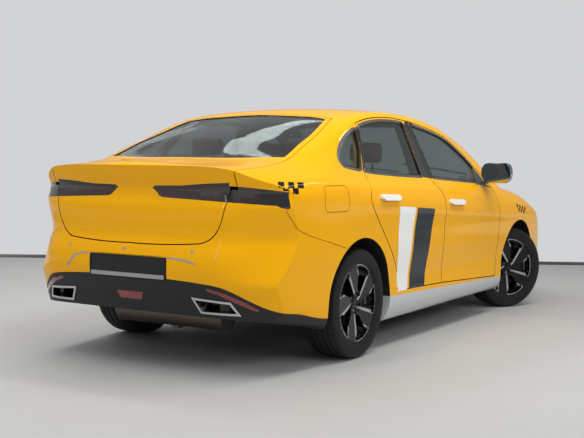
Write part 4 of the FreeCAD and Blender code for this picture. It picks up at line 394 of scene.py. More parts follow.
def layOn(outline, ray, tree, step, lift, deepest):
    # Points and faces of a thin closed piece that lies on the panel that the rays meet
    grid = flatGrid(outline, step)
    grid.verts.index_update()
    middle = sum((Vector(corner) for corner in outline), Vector((0, 0))) / len(outline)
    flats = [Vector((vertex.co.x, vertex.co.y)) for vertex in grid.verts]
    hits = [tree.ray_cast(*ray(flat)) for flat in flats]
    nearest = min((hit[3] for hit in hits if hit[0] is not None), default=None)
    if nearest is None:
        raise ValueError("the outline misses its panel")
    met = [i for i, hit in enumerate(hits) if hit[0] is not None and hit[3] < nearest + deepest
           and abs(hit[1].dot(ray(flats[i])[1])) > lay["grazing"]]
    spots = []
    for i, flat in enumerate(flats):
        origin, ahead = ray(flat)
        source = i if i in met else min(met, key=lambda k: (flats[k] - flat).length)
        normal, distance = hits[source][1], hits[source][3]
        spots.append((origin + ahead * distance, -normal if normal.dot(ahead) > 0 else normal))
    count = len(spots)
    points = [place + normal * lift for place, normal in spots]
    points += [place - normal * lay["sunk"] for place, normal in spots]
    faces = []
    origin, ahead = ray(middle)
    for face in grid.faces:
        loop = [vertex.index for vertex in face.verts]
        a, b, c = (points[i] for i in loop[:3])
        if (b - a).cross(c - a).dot(ahead) > 0:
            loop.reverse()
        faces.append(loop)
        faces.append([i + count for i in reversed(loop)])
    seen = set()
    for loop in faces[::2]:
        for a, b in zip(loop, loop[1:] + loop[:1]):
            seen.add((a, b))
    for a, b in sorted(seen):
        if (b, a) not in seen:
            faces.append([b, a, a + count, b + count])
    grid.free()
    return points, faces


def layAll(outlines, ray, tree, step, lift, deepest=lay["deepest"]):
    # All the outlines as one mesh
    points, faces = [], []
    for outline in outlines:
        more, moreFaces = layOn(outline, ray, tree, step, lift, deepest)
        faces += [[i + len(points) for i in face] for face in moreFaces]
        points += more
    return points, faces


def mirrored(points, faces):
    return [Vector((p.x, -p.y, p.z)) for p in points], [list(reversed(face)) for face in faces]


def addPatch(name, outlines, ray, tree, body, material, slot, step, lift, both=True,
             deepest=lay["deepest"]):
    # One piece of all the outlines on the right side, and with both its mirror image on the left
    points, faces = layAll(outlines, ray, tree, step, lift, deepest)
    bodies = body if isinstance(body, tuple) else (body, body)
    addPiece(name + "_right" if both else name, points, faces, bodies[0], material, slot)
    if both:
        addPiece(name + "_left", *mirrored(points, faces), bodies[1], material, slot)


def boundaryOf(node, outward, facing=0.35):
    # The loops round a pane's outer face: smooth points with the panel's normal at each
    mesh = bmesh.new()
    mesh.from_mesh(nodes[node].data)
    bmesh.ops.remove_doubles(mesh, verts=mesh.verts, dist=0.01 * mm)
    mesh.normal_update()
    outer = {face for face in mesh.faces if face.normal.dot(outward) > facing}
    edges = [edge for edge in mesh.edges if sum(face in outer for face in edge.link_faces) == 1]
    following = {}
    for edge in edges:
        for vertex in edge.verts:
            following.setdefault(vertex, []).append(edge)
    loops = []
    left = set(edges)
    while left:
        edge = min(left, key=lambda each: each.index)
        start = current = edge.verts[0]
        loop = []
        while edge in left:
            left.discard(edge)
            normals = [face.normal for face in edge.link_faces if face in outer]
            loop.append((current.co.copy(), normals[0].copy()))
            current = edge.other_vert(current)
            options = [each for each in following[current] if each in left]
            if not options:
                break
            edge = options[0]
        if current == start and len(loop) > 8:
            loops.append(loop)
    mesh.free()
    return loops


def evenLoop(loop, spacing):
    # The loop again with evenly spaced points
    total = sum((loop[i][0] - loop[i - 1][0]).length for i in range(len(loop)))
    count = max(12, int(total / spacing))
    result = []
    walked, i = 0.0, 0
    for k in range(count):
        target = total * k / count
        while True:
            a, b = loop[i % len(loop)], loop[(i + 1) % len(loop)]
            length = (b[0] - a[0]).length
            if walked + length >= target or i > 4 * len(loop):
                break
            walked += length
            i += 1
        share = (target - walked) / length if length > 0 else 0
        result.append((a[0].lerp(b[0], share), a[1].lerp(b[1], share).normalized()))
    return result


def sweepRing(loop, profile, tree, look=40 * mm):
    # The profile's (offset outward, lift) points carried round a closed loop, and lifted off the panel
    count, size = len(loop), len(profile)
    middle = sum((place for place, normal in loop), Vector()) / count
    points, faces = [], []
    for k in range(count):
        place, normal = loop[k]
        before, after = loop[k - 1][0], loop[(k + 1) % count][0]
        first, second = (place - before).normalized(), (after - place).normalized()
        ahead = (first + second).normalized()
        aside = ahead.cross(normal).normalized()
        stretch = min(1.5, 1 / max(0.3, ahead.dot(second)))      # mitred, but short at sharp corners
        for offset, lift in profile:
            spot = place + aside * (offset * stretch)
            hit = tree.ray_cast(spot + normal * look, -normal, 2 * look)
            points.append(spot + normal * (lift + (look - hit[3] if hit[0] is not None else 0)))
    outward = 0.0
    for k in range(count):
        outward += (points[k * size + size - 2] - points[k * size]).dot(loop[k][0] - middle)
    if outward < 0:
        return sweepRing(list(reversed(loop)), profile, tree)
    for k in range(count):
        for j in range(size):
            a, b = k * size + j, k * size + (j + 1) % size
            c, d = (k + 1) % count * size + (j + 1) % size, (k + 1) % count * size + j
            faces.append([a, d, c, b])
    return points, faces


print("tools ready")

# The panels that thin pieces lie on
rearDoors = treeOf("door_rear_right_shell")
frontDoors = treeOf("door_front_right_shell")
sideBody = treeOf("body_sides")
lidSkin = treeOf("tailgate_shell tailgate_lamps")
tailLamps = treeOf("tail_lamps_outer")
bumperSkin = treeOf("bumper_rear valance_rear rear_reflectors")
wingSkin = treeOf("front_wings")
rightDoors = ("door_rear_right", "door_rear_left")
frontPair = ("door_front_right", "door_front_left")

# Window mouldings: satin outside, rubber on the glass, black over the middle pillar
moulding = {
    "spacing": 16 * mm,
    "lean": 0.25,                     # how far the side panes look up
    "profile": [(-5, -2), (-5, 1.2), (0, 2.0), (3, 2.6), (9, 3.4), (18, 2.8), (21, 0.4), (21, -2)],
    "rubberFrom": 2,                  # profile runs up to this one are rubber
    "pillar": (-0.384, -0.166),       # m, where the moulding is black
    "bar": (-1.175, 0.56, 0.05),      # m: foot, lean and half width of the black bar at the door's rear
    "barHeights": (1.11, 1.35),
}


def onBar(centre):
    foot, lean, half = moulding["bar"]
    low, high = moulding["barHeights"]
    return abs(centre.x - foot - (centre.z - low) * lean) < half and low < centre.z < high


def addMoulding(name, node, body, side):
    profile = [(a * mm, b * mm) for a, b in moulding["profile"]]
    loops = [loop for loop in boundaryOf(node, Vector((0, side, moulding["lean"])).normalized())
             if all(place.y * side > 0 for place, normal in loop)
             and (body != "car_body" or max(place.x for place, normal in loop) < 0)]
    loop = max(loops, key=len)
    panels = treeOf(f"{node} {body}_shell" if body != "car_body" else f"{node} body_sides")
    points, faces = sweepRing(evenLoop(loop, moulding["spacing"]), profile, panels)
    piece = addPiece(name, points, faces, body, [satinTrim, rubberBlack, pianoBlack], "plastic_black")
    size = len(profile)
    for i, polygon in enumerate(piece.data.polygons):
        centre = sum((points[k] for k in faces[i]), Vector()) / 4
        low, high = moulding["pillar"]
        if i % size < moulding["rubberFrom"]:
            polygon.material_index = 1
        elif low < centre.x < high or onBar(centre):
            polygon.material_index = 2


for side, end in ((-1, "right"), (1, "left")):
    for row in ("front", "rear"):
        addMoulding(f"moulding_{row}_{end}", f"door_{row}_{end}_glass", f"door_{row}_{end}", side)
    addMoulding(f"moulding_quarter_{end}", "fixed_glass", "car_body", side)
print("window mouldings made")

# Black pillar covers between the panes, each on the panel that carries it: (x, z) in mm
pillars = {
    "step": 11, "lift": 1.4 * mm,
    "rear_door": [(-328, 1430), (-270, 1430), (-238, 1050), (-372, 1062)],
    "front_door": [(-263, 1430), (-205, 1424), (-174, 1050), (-231, 1048)],
    "door_bar": [(-1190, 1092), (-1145, 1096), (-1004, 1358), (-1040, 1368), (-1110, 1216)],
    "quarter_bar": [(-1238, 1108), (-1195, 1100), (-1115, 1220), (-1048, 1352), (-1080, 1344),
                    (-1141, 1228)],
}
for name, panel, body in (("rear_door", rearDoors, rightDoors), ("front_door", frontDoors, frontPair),
                          ("door_bar", rearDoors, rightDoors), ("quarter_bar", sideBody, "car_body")):
    addPatch("pillar_" + name, [pillars[name]], sideRay, panel, body, pianoBlack, "plastic_gloss_black",
             pillars["step"], pillars["lift"])

# The black sail ahead of the front window, which carries the mirror: pixels of the photograph
mirrorSail = {
    "outline": [(470.5, 164.0), (476.0, 171.5), (481.5, 178.5), (484.5, 183.5), (491.0, 187.6),
                (476.0, 184.2), (474.5, 175.0)],
    "step": 2, "lift": 1.4 * mm, "deepest": 0.5,
}
addPatch("mirror_sail", [mirrorSail["outline"]], photoRay, frontDoors, frontPair, pianoBlack,
         "plastic_gloss_black", mirrorSail["step"], mirrorSail["lift"], deepest=mirrorSail["deepest"])

# Generic livery: two slanted bands down each rear door, and chequers at both ends of the car
livery = {
    "white": [(-880, 880), (-640, 868), (-700, 345), (-850, 345)],
    "charcoal": [(-610, 866), (-330, 850), (-430, 345), (-670, 345)],
    "step": 14, "lift": 0.9 * mm,
}
for name, film in (("white", whiteFilm), ("charcoal", charcoalFilm)):
    addPatch("livery_band_" + name, [livery[name]], sideRay, rearDoors, rightDoors, film, "paint_yellow",
             livery["step"], livery["lift"])

chequers = {      # photograph pixels at the tail, (x, z) in mm on the wings
    "tailUpper": [(277.7, 283.9), (288.0, 293.8), (297.3, 303.4)],
    "tailLower": [(282.9, 288.9), (292.6, 298.4)],
    "tailLevels": (181.7, 187.6, 193.8), "tailStart": 277.7, "tailDrop": 0.03, "tailLean": 0.6,
    "tailStep": 2, "tailLift": 0.8 * mm,
    "wingStart": (1340, 842), "wingEnd": (1560, 806), "wingTall": 56, "wingColumns": 7,
    "wingStep": 12, "wingLift": 0.9 * mm,
}


def tailCells():
    top, middle, foot = chequers["tailLevels"]
    start, drop, lean = (chequers[key] for key in ("tailStart", "tailDrop", "tailLean"))
    cells = []
    rows = ((chequers["tailUpper"], top, middle), (chequers["tailLower"], middle, foot))
    for spans, high, low in rows:
        for a, b in spans:
            da, db = (a - start) * drop, (b - start) * drop
            cells.append([(a, high + da), (b, high + db), (b + lean, low + db), (a + lean, low + da)])
    return cells


def wingCells():
    (x0, z0), (x1, z1) = chequers["wingStart"], chequers["wingEnd"]
    cells, columns, tall = [], chequers["wingColumns"], chequers["wingTall"]
    for column in range(columns):
        a, b = column / columns, (column + 1) / columns
        top = -tall / 2 * (column % 2)
        xa, xb = x0 + (x1 - x0) * a, x0 + (x1 - x0) * b
        za, zb = z0 + (z1 - z0) * a + top, z0 + (z1 - z0) * b + top
        cells.append([(xa, za), (xb, zb), (xb, zb - tall / 2), (xa, za - tall / 2)])
    return cells


addPatch("chequers_rear", tailCells(), photoRay, sideBody, "car_body", blackFilm, "paint_yellow",
         chequers["tailStep"], chequers["tailLift"])
addPatch("chequers_front", wingCells(), sideRay, wingSkin, "car_body", blackFilm, "paint_yellow",
         chequers["wingStep"], chequers["wingLift"])
print("pillars and livery laid")

# Tail lamps: outlines on a crop of the photograph that shows the right lamp
lampCrop = {"x": 40, "y": 150, "scale": 5.807, "step": 4, "deepest": 0.5}


def fromCrop(points):
    return [(lampCrop["x"] + a / lampCrop["scale"], lampCrop["y"] + b / lampCrop["scale"])
            for a, b in points]


lampPieces = [      # name, panel, body, material, lift in mm, outline
    ("lamp_band_lid", lidSkin, "tailgate", pianoBlack, 0.5,
     [(662, 206), (820, 206), (960, 196), (1098, 191), (1098, 216), (960, 222), (662, 226)]),
    ("lamp_maroon_lid", lidSkin, "tailgate", lampRed, 0.4,
     [(675, 228), (1055, 226), (1072, 240), (1072, 278), (1040, 289), (930, 277), (692, 266)]),
    ("lamp_grey_lid", lidSkin, "tailgate", lampGrey, 0.8,
     [(930, 245), (1050, 238), (1045, 270), (935, 265)]),
    ("lamp_maroon_outer", tailLamps, "car_body", lampRed, 0.4,
     [(1118, 231), (1258, 236), (1276, 250), (1276, 289), (1250, 299), (1118, 286)]),
    ("lamp_grey_outer", tailLamps, "car_body", lampGrey, 0.8,
     [(1124, 245), (1248, 250), (1246, 280), (1124, 268)]),
]
for name, panel, body, material, lift, outline in lampPieces:
    addPatch(name, [fromCrop(outline)], photoRay, panel, body, material, "lamp_smoked", lampCrop["step"],
             lift * mm, deepest=lampCrop["deepest"])
print("lamps dressed")

seam = {"step": 14, "lift": 0.6 * mm}
# Fuel flap: only its rounded seam shows, on the right side: (x, z) in mm
flap = {"low": (-1795, 870), "high": (-1542, 1016), "round": 34, "line": 2.4}


def roundedRing(low, high, radius, width, turns=6):
    # A thin rounded frame as two half rings, each a plain outline
    def corner(cx, cz, start, r):
        return [(cx + r * math.cos(math.radians(start + 90 * i / turns)),
                 cz + r * math.sin(math.radians(start + 90 * i / turns))) for i in range(turns + 1)]
    loops = []
    for inset in (0, width):
        r = radius - inset
        x0, z0, x1, z1 = low[0] + radius, low[1] + radius, high[0] - radius, high[1] - radius
        loops.append((corner(x1, z1, 0, r) + corner(x0, z1, 90, r),
                      corner(x0, z0, 180, r) + corner(x1, z0, 270, r)))
    (topOut, footOut), (topIn, footIn) = loops
    middle = [(topOut[-1][0], footOut[0][1] + 1), (topIn[-1][0], footIn[0][1] + 1)]
    upper = [(topOut[0][0], footOut[-1][1])] + topOut + middle + list(reversed(topIn)) \
        + [(topIn[0][0], footIn[-1][1])]
    lower = footOut + list(reversed(footIn))
    return [upper, lower]


addPatch("fuel_flap_seam", roundedRing(flap["low"], flap["high"], flap["round"], flap["line"]), sideRay,
         sideBody, "car_body", linerBlack, "paint_yellow", seam["step"], seam["lift"], both=False)

# The rear bumper's upper seam on the quarters: (x, z) in mm
bumperSeam = {
    "line": [(-2118, 913), (-2090, 864), (-2030, 787), (-1900, 743), (-1740, 706), (-1640, 683),
             (-1552, 662)],
    "wide": 2.2,
}


def lineOutline(points, wide):      # both sides of a drawn line
    upper, lower = [], []
    for i, (x, z) in enumerate(points):
        (xa, za), (xb, zb) = points[max(i - 1, 0)], points[min(i + 1, len(points) - 1)]
        length = math.hypot(xb - xa, zb - za)
        nx, nz = -(zb - za) / length * wide / 2, (xb - xa) / length * wide / 2
        upper.append((x + nx, z + nz))
        lower.append((x - nx, z - nz))
    return upper + list(reversed(lower))


quarterSkin = treeOf("bumper_rear body_sides")
addPatch("bumper_seam", [lineOutline(bumperSeam["line"], bumperSeam["wide"])], sideRay, quarterSkin,
         "car_body", linerBlack, "plastic_black", seam["step"], seam["lift"])
print("fuel flap and bumper seam drawn")

# Number plate: blank sheet in a black frame with a grey strip, in its recess
plate = {
    "half": 262, "low": 512, "high": 628, "face": -2380.4,      # mm: half width, height span, outer face
    "rim": 9, "strip": 22, "proud": 3.5, "frameRound": 3,
    "inset": 2, "sheetProud": 0.8, "sheetRound": 6, "sunk": 0.3,
}


def roundedPrism(name, low, high, depth, radius, body, material, slot, soften=0.8):
    # A rounded rectangle in the plane across the car, softened at its front edge: (y, z) and x in mm
    turns = 5
    points = []
    levels = ((depth[0], soften), (depth[0] + soften, 0), (depth[1], 0))
    for x, inset in levels:
        r = max(radius - inset, 0.5)
        y0, z0, y1, z1 = low[0] + radius, low[1] + radius, high[0] - radius, high[1] - radius
        for cy, cz, start in ((y1, z1, 0), (y0, z1, 90), (y0, z0, 180), (y1, z0, 270)):
            for i in range(turns + 1):
                angle = math.radians(start + 90 * i / turns)
                points.append(Vector((x, cy + r * math.cos(angle), cz + r * math.sin(angle))) * mm)
    return addPiece(name, points, stackFaces(4 * (turns + 1), len(levels)), body, material, slot)


half, low, high, face, sunk = (plate[key] for key in ("half", "low", "high", "face", "sunk"))
inset, rim = plate["inset"], plate["rim"]
roundedPrism("plate_sheet", (-half + inset, low + inset), (half - inset, high - inset),
             (face - plate["sheetProud"], face + sunk), plate["sheetRound"], "car_body", platePlastic,
             "plastic_black")
for label, start, end in (
        ("strip", (-half, low), (half, low + plate["strip"])),
        ("top", (-half, high - rim), (half, high)),
        ("end_left", (half - rim, low), (half, high)),
        ("end_right", (-half, low), (-half + rim, high))):
    roundedPrism("plate_frame_" + label, start, end, (face - plate["proud"], face + sunk),
                 plate["frameRound"], "car_body", greyTrimAndHighlight if label == "strip" else grainedBlack,
                 "plastic_black")

# Parking sensors, and a silver-grey line above the plate that is a painted highlight on the recess's
# pressed edge, by pixels of the photograph
sensor = {
    "pixels": [(70.3, 244.2), (124.1, 248.2), (192.2, 251.5)], "radius": 9 * mm, "turns": 24,
    "rings": [(1.12, -0.4), (1.12, 0.3), (1.0, 0.1), (0.96, 1.1), (0.6, 1.6)],      # share, lift in mm
}


def addSensor(name, place, normal):
    # A domed disc with a fine gap round it
    side = normal.cross(Vector((0, 0, 1))).normalized()
    up = normal.cross(side)
    points, turns = [], sensor["turns"]
    for share, lift in sensor["rings"]:
        for i in range(turns):
            angle = 2 * math.pi * i / turns
            spoke = side * math.cos(angle) + up * math.sin(angle)
            points.append(place + spoke * share * sensor["radius"] + normal * (lift * mm))
    addPiece(name, points, stackFaces(turns, len(sensor["rings"])), "car_body", greyTrimAndHighlight,
             "plastic_grey")


for i, pixel in enumerate(sensor["pixels"]):
    origin, ahead = photoRay(pixel)
    place, normal = bumperSkin.ray_cast(origin, ahead)[:2]
    if place is not None:
        addSensor(f"parking_sensor_{i}", place, normal if normal.dot(ahead) < 0 else -normal)

# Outlines of the painted highlight along the pressed edge of the plate's recess
recess = {      # on the lamp's crop
    "left": [(152, 668), (198, 602), (250, 588), (312, 594), (310, 601), (252, 597), (206, 610),
             (162, 672)],
    "right": [(735, 620), (850, 638), (896, 658), (894, 668), (846, 650), (736, 630)],
    "step": 3, "lift": 1.0 * mm,
}
# The recess edge is not shaped: a grey strip on the bumper paints its highlight
addPatch("plate_recess_edge_highlight", [fromCrop(recess["left"]), fromCrop(recess["right"])], photoRay,
         bumperSkin, "car_body", greyTrimAndHighlight, "plastic_grey", recess["step"], recess["lift"], both=False)
print("plate, sensors and recess made")

# Tyres: the tread is cut by four grooves and shoulder sipes. (distance from the middle, radius) in mm
tyre = {
    "around": 288,
    "side": [(90, 229.5), (96, 232), (103, 241), (108.5, 252), (111.5, 266), (112.3, 276),
             (111.2, 277.4), (111, 290), (109, 301), (105.4, 310), (99.5, 316.5)],
    "tread": [(93, 319.4), (84, 321.4), (74, 322.8), (64, 323.7), (61.5, 323.9), (60.5, 317.2),
              (53.5, 317.2), (52.5, 324.3), (49, 324.5), (38, 324.8), (27.5, 325), (26.5, 318),
              (18.5, 318), (17.5, 325), (12, 325), (0, 325)],
    "inside": [(98, 300), (100, 264), (86, 240), (84, 232)],
    "sipe": 3.6,                      # mm deep
    "sipeEvery": 4,                   # steps round the tyre
    "sipeZone": (66, 96),             # mm from the middle, shoulder blocks
}


def wheelFrame(name):
    joint = joints[name]
    centre = Vector(joint["pos_m"])
    outward = Vector(joint["axis"]).normalized()
    if outward.y * centre.y < 0:
        outward = -outward
    across = Vector((0, 0, 1)).cross(outward).normalized()
    return centre, outward, across


def lathe(centre, outward, across, profile, around, deepen=None):
    # The closed profile's (outward, radius) points turned round the wheel's axis
    up = Vector((0, 0, 1))
    points, faces, size = [], [], len(profile)
    for k in range(around):
        angle = 2 * math.pi * k / around
        spoke = across * math.cos(angle) + up * math.sin(angle)
        for axial, radius in profile:
            depth = deepen(k, axial, radius) if deepen else 0
            points.append(centre + outward * (axial * mm) + spoke * ((radius - depth) * mm))
    for k in range(around):
        for j in range(size):
            a, b = k * size + j, k * size + (j + 1) % size
            c, d = (k + 1) % around * size + (j + 1) % size, (k + 1) % around * size + j
            faces.append([a, b, c, d])
    return points, faces


def sipeDepth(k, axial, radius):
    low, high = tyre["sipeZone"]
    shift = 0 if axial > 0 else tyre["sipeEvery"] // 2      # the two shoulders are staggered
    if low <= abs(axial) <= high and (k + shift) % tyre["sipeEvery"] == 0:
        return tyre["sipe"]
    return 0


# Wheels, in mm and degrees seen from outside: machined lines beside each of the five openings
wheel = {
    "openings": 5, "pitch": 72,
    "arc": (214, 228, 49, 96),                    # radii and angles
    "arcSteps": 12,
    "edge": ((228, 49), (42, 17), 22),            # from, to, width
    "hook": ((227, 96), (160, 87.5), 14),
    "taper": 0.6, "step": 8, "lift": 0.5 * mm,
    # Centre cap from its seat: (lift, radius)
    "cap": [(7.6, 0.05), (7, 22), (6.2, 24), (6.5, 26), (5.5, 30), (3, 32), (-2, 31), (-2, 0.05)],
    "capSeat": 34, "capTurns": 48,
    "nuts": 5, "nutCircle": 57, "nutStart": 126, "nutSize": 9, "nutTurn": 15,
    "nutRings": [(-1, 1), (9, 1), (11, 0.82)],    # lift, share of the size
    "capLevel": 72, "nutLevel": 62,               # used where no rim is met
    "look": 0.4,                                  # m outside the wheel
}


def polar(radius, angle):
    return radius * math.cos(math.radians(angle)), radius * math.sin(math.radians(angle))


def stripAlong(start, end, width):
    # A tapered strip beside the line from one polar point to another
    (x0, z0), (x1, z1) = polar(*start), polar(*end)
    length = math.hypot(x1 - x0, z1 - z0)
    nx, nz = (z1 - z0) / length, -(x1 - x0) / length
    narrow = width * wheel["taper"]
    return [(x0, z0), (x1, z1), (x1 + nx * narrow, z1 + nz * narrow), (x0 + nx * width, z0 + nz * width)]


def wheelLines():      # outlines of the machined lines
    outlines = []
    low, high, first, last = wheel["arc"]
    for i in range(wheel["openings"]):
        turn = i * wheel["pitch"]
        steps = wheel["arcSteps"]
        angles = [first + turn + (last - first) * k / steps for k in range(steps + 1)]
        outlines.append([polar(high, a) for a in angles] + [polar(low, a) for a in reversed(angles)])
        (r0, a0), (r1, a1), width = wheel["edge"]
        outlines.append(stripAlong((r0, a0 + turn), (r1, a1 + turn), width))
        (r0, a0), (r1, a1), width = wheel["hook"]
        outlines.append(list(reversed(stripAlong((r0, a0 + turn), (r1, a1 + turn), -width))))
    return outlines


def wheelNuts(centre, outward, across, rimLevel):      # hexagons in their bores
    points, faces = [], []
    for i in range(wheel["nuts"]):
        x, z = polar(wheel["nutCircle"], wheel["nutStart"] + wheel["pitch"] * i)
        level = rimLevel((x, z), wheel["nutLevel"])
        spot = centre + across * (x * mm) + Vector((0, 0, z * mm))
        start = len(points)
        for lift, share in wheel["nutRings"]:
            for k in range(6):
                angle = math.radians(60 * k + wheel["nutTurn"])
                spoke = (across * math.cos(angle) + Vector((0, 0, math.sin(angle)))) * share
                points.append(spot + outward * ((level + lift) * mm) + spoke * wheel["nutSize"] * mm)
        faces += stackFaces(6, len(wheel["nutRings"]), start)
    return points, faces


def dressWheel(end):
    body, rimName, tyreName = "wheel_" + end, "rim_" + end, "tyre_" + end
    centre, outward, across = wheelFrame(f"wheel_{end}_spin")
    outer = tyre["side"] + tyre["tread"]
    profile = outer + [(-a, r) for a, r in reversed(outer[:-1])] \
        + [(-a, r) for a, r in reversed(tyre["inside"])] + tyre["inside"]
    points, faces = lathe(centre, outward, across, profile, tyre["around"], sipeDepth)
    cover = addPiece("tyre_cover_" + end, points, faces, body, tyreRubber, "tyre_rubber", 25)
    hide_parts(tyreName)
    rim = treeOf(rimName)

    def wheelRay(point):
        spot = centre + across * (point[0] * mm) + Vector((0, 0, point[1] * mm))
        return spot + outward * wheel["look"], -outward

    def rimLevel(point, otherwise):      # mm from the wheel's middle out to its rim
        hit = rim.ray_cast(*wheelRay(point))[0]
        return otherwise if hit is None else (hit - centre).dot(outward) / mm

    points, faces = layAll(wheelLines(), wheelRay, rim, wheel["step"], wheel["lift"])
    addPiece("machined_lines_" + end, points, faces, body, machined, "rim_alloy")
    seat = rimLevel((wheel["capSeat"], 0), wheel["capLevel"])
    points, faces = lathe(centre, outward, across, [(seat + lift, r) for lift, r in wheel["cap"]],
                          wheel["capTurns"])
    addPiece("wheel_cap_" + end, points, faces, body, blackAlloy, "rim_alloy", 25)
    points, faces = wheelNuts(centre, outward, across, rimLevel)
    addPiece("wheel_nuts_" + end, points, faces, body, blackAlloy, "rim_alloy", 30)


for end in ("front_left", "front_right", "rear_left", "rear_right"):
    dressWheel(end)
print("wheels dressed")

# Seats: foam under leather. Each pad is swelled by a short cloth simulation inside its solid's space
pad = {
    "voxel": 9 * mm, "inset": 9 * mm, "frames": 20, "pressure": 4.0, "soften": 2,
    "seamDepth": 7 * mm, "seamWidth": 9 * mm,
    "headrest": (7 * mm, 6 * mm, 7 * mm),      # voxel, inset, cap
}
padTable = [      # name, node, one on each side, cap on the swelling, sewn channels (axis, place in m)
    ("front_cushion", "front_cushions", True, 10 * mm, [("x", 0.06), ("x", 0.19), ("x", 0.32)]),
    ("front_backrest", "front_backrests", True, 12 * mm,
     [("z", 0.62), ("z", 0.74), ("z", 0.86), ("z", 0.98)]),
    ("rear_cushion", "rear_cushion", False, 10 * mm,
     [("y", -0.2), ("y", 0.2), ("x", -0.6), ("x", -0.76)]),
    ("rear_backrest", "rear_backrest", False, 12 * mm,
     [("y", -0.2), ("y", 0.2), ("z", 0.66), ("z", 0.86)]),
]


def solidParts(node):
    # The node's separate solids, each as its own list of points and faces
    mesh = bmesh.new()
    mesh.from_mesh(nodes[node].data)
    bmesh.ops.remove_doubles(mesh, verts=mesh.verts, dist=0.01 * mm)
    mesh.verts.ensure_lookup_table()
    mesh.verts.index_update()
    unseen = set(range(len(mesh.verts)))
    parts = []
    while unseen:
        stack = [min(unseen)]
        island = set(stack)
        while stack:
            for edge in mesh.verts[stack.pop()].link_edges:
                for vertex in edge.verts:
                    if vertex.index not in island:
                        island.add(vertex.index)
                        stack.append(vertex.index)
        unseen -= island
        order = {old: new for new, old in enumerate(sorted(island))}
        points = [mesh.verts[i].co.copy() for i in sorted(island)]
        faces = [[order[vertex.index] for vertex in face.verts] for face in mesh.faces
                 if face.verts[0].index in island]
        parts.append((points, faces))
    mesh.free()
    parts.sort(key=lambda part: sum(point.y for point in part[0]) / len(part[0]))
    return parts


def swapMesh(piece, modifierNames):
    graph = bpy.context.evaluated_depsgraph_get()
    mesh = bpy.data.meshes.new_from_object(piece.evaluated_get(graph))
    for name in modifierNames:
        piece.modifiers.remove(piece.modifiers[name])
    piece.data = mesh


def swell(piece, voxel, inset, cap):
    # Even quads, a little inside the solid, then blown up until the leather is taut
    remesh = piece.modifiers.new("even", "REMESH")
    remesh.mode = "VOXEL"
    remesh.voxel_size = voxel
    remesh.use_smooth_shade = True
    swapMesh(piece, ["even"])
    mesh = bmesh.new()
    mesh.from_mesh(piece.data)
    for i in range(pad["soften"]):
        bmesh.ops.smooth_vert(mesh, verts=mesh.verts, factor=0.5, use_axis_x=True, use_axis_y=True,
                              use_axis_z=True)
    mesh.normal_update()
    for vertex in mesh.verts:
        vertex.co -= vertex.normal * inset
    mesh.to_mesh(piece.data)
    mesh.free()
    rest = [vertex.co.copy() for vertex in piece.data.vertices]
    cloth = piece.modifiers.new("leather", "CLOTH")
    cloth.settings.use_pressure = True
    cloth.settings.uniform_pressure_force = pad["pressure"]
    cloth.settings.effector_weights.gravity = 0
    cloth.point_cache.frame_end = pad["frames"]
    for frameNumber in range(1, pad["frames"] + 1):
        scene.frame_set(frameNumber)
    swapMesh(piece, ["leather"])
    scene.frame_set(1)
    for vertex, start in zip(piece.data.vertices, rest):
        shift = vertex.co - start
        if shift.length > cap:
            vertex.co = start + shift.normalized() * cap


def sewChannels(piece, channels):
    # Stitched valleys across the pad, deepest on its seam
    normals = [vertex.normal.copy() for vertex in piece.data.vertices]
    for axis, place in channels:
        k = "xyz".index(axis)
        for vertex, normal in zip(piece.data.vertices, normals):
            away = (vertex.co[k] - place) / pad["seamWidth"]
            if abs(away) < 3:
                vertex.co -= normal * (pad["seamDepth"] * math.exp(-away * away))


def coverWith(leather, piece):
    piece.data.materials.clear()
    piece.data.materials.append(leather)
    piece.data.shade_smooth()


def makePads(name, node, sides, cap, channels):
    labels = ["_right", "_left"] if sides else [""]
    for (points, faces), label in zip(solidParts(node), labels):
        piece = addPiece(name + "_pad" + label, points, faces, "car_body", seatLeather, "seat_leather")
        swell(piece, pad["voxel"], pad["inset"], cap)
        sewChannels(piece, channels)
        coverWith(seatLeather, piece)
        subdivide = piece.modifiers.new("leatherSkin", "SUBSURF")
        subdivide.levels = subdivide.render_levels = 1
        swapMesh(piece, ["leatherSkin"])
        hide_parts(node)


for row in padTable:
    makePads(*row)
for i, (points, faces) in enumerate(solidParts("headrests")):
    piece = addPiece(f"headrest_pad_{i}", points, faces, "car_body", tanLeather, "headrest_leather")
    swell(piece, *pad["headrest"])
    coverWith(tanLeather, piece)
    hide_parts("headrests")
print("seats padded")

# Door mirrors' glass, on the housings' rear faces
def mirrorPane(side):
    points, faces = min(solidParts("mirror_" + side),
                        key=lambda part: max(p.x for p in part[0]) - min(p.x for p in part[0]))
    points = [Vector((p.x - 0.4 * mm, p.y, p.z)) for p in points]
    addPiece("mirror_pane_" + side, points, faces, "door_front_" + side, mirrorGlass, "chrome_trim")


mirrorPane("right")
mirrorPane("left")

# Headlamps: dark bezel, two projectors and a running light on each lens, as (y, z) in mm
headlamp = {
    "bezel": [(-424, 727), (-550, 731), (-700, 741), (-846, 757), (-860, 740), (-842, 707), (-700, 689),
              (-512, 680)],
    "projectors": [(-520, 705, 17), (-600, 711, 18)],
    "running": [(-640, 699), (-838, 716), (-838, 724), (-640, 707)],
    "lens": 0.8,                      # share of the ring
    "deepest": 0.6,
}
noseLamps = treeOf("headlamps")
screenSkin = treeOf("fixed_glass")


def circle(y, z, radius, count=24):
    angles = [2 * math.pi * i / count for i in range(count)]
    return [(y + radius * math.cos(angle), z + radius * math.sin(angle)) for angle in angles]


projectors = headlamp["projectors"]
lampLenses = [circle(y, z, r * headlamp["lens"]) for y, z, r in projectors]
for name, outlines, material, step, lift in (
        ("bezel", [headlamp["bezel"]], pianoBlack, 18, 0.9),
        ("rings", [circle(*ring) for ring in projectors], chrome, 12, 1.5),
        ("lenses", lampLenses, headlampLens, 10, 2.4),
        ("running", [headlamp["running"]], headlampLens, 18, 1.6)):
    addPatch("headlamp_" + name, outlines, noseRay, noseLamps, "car_body", material, "lamp_clear", step,
             lift * mm, deepest=headlamp["deepest"])

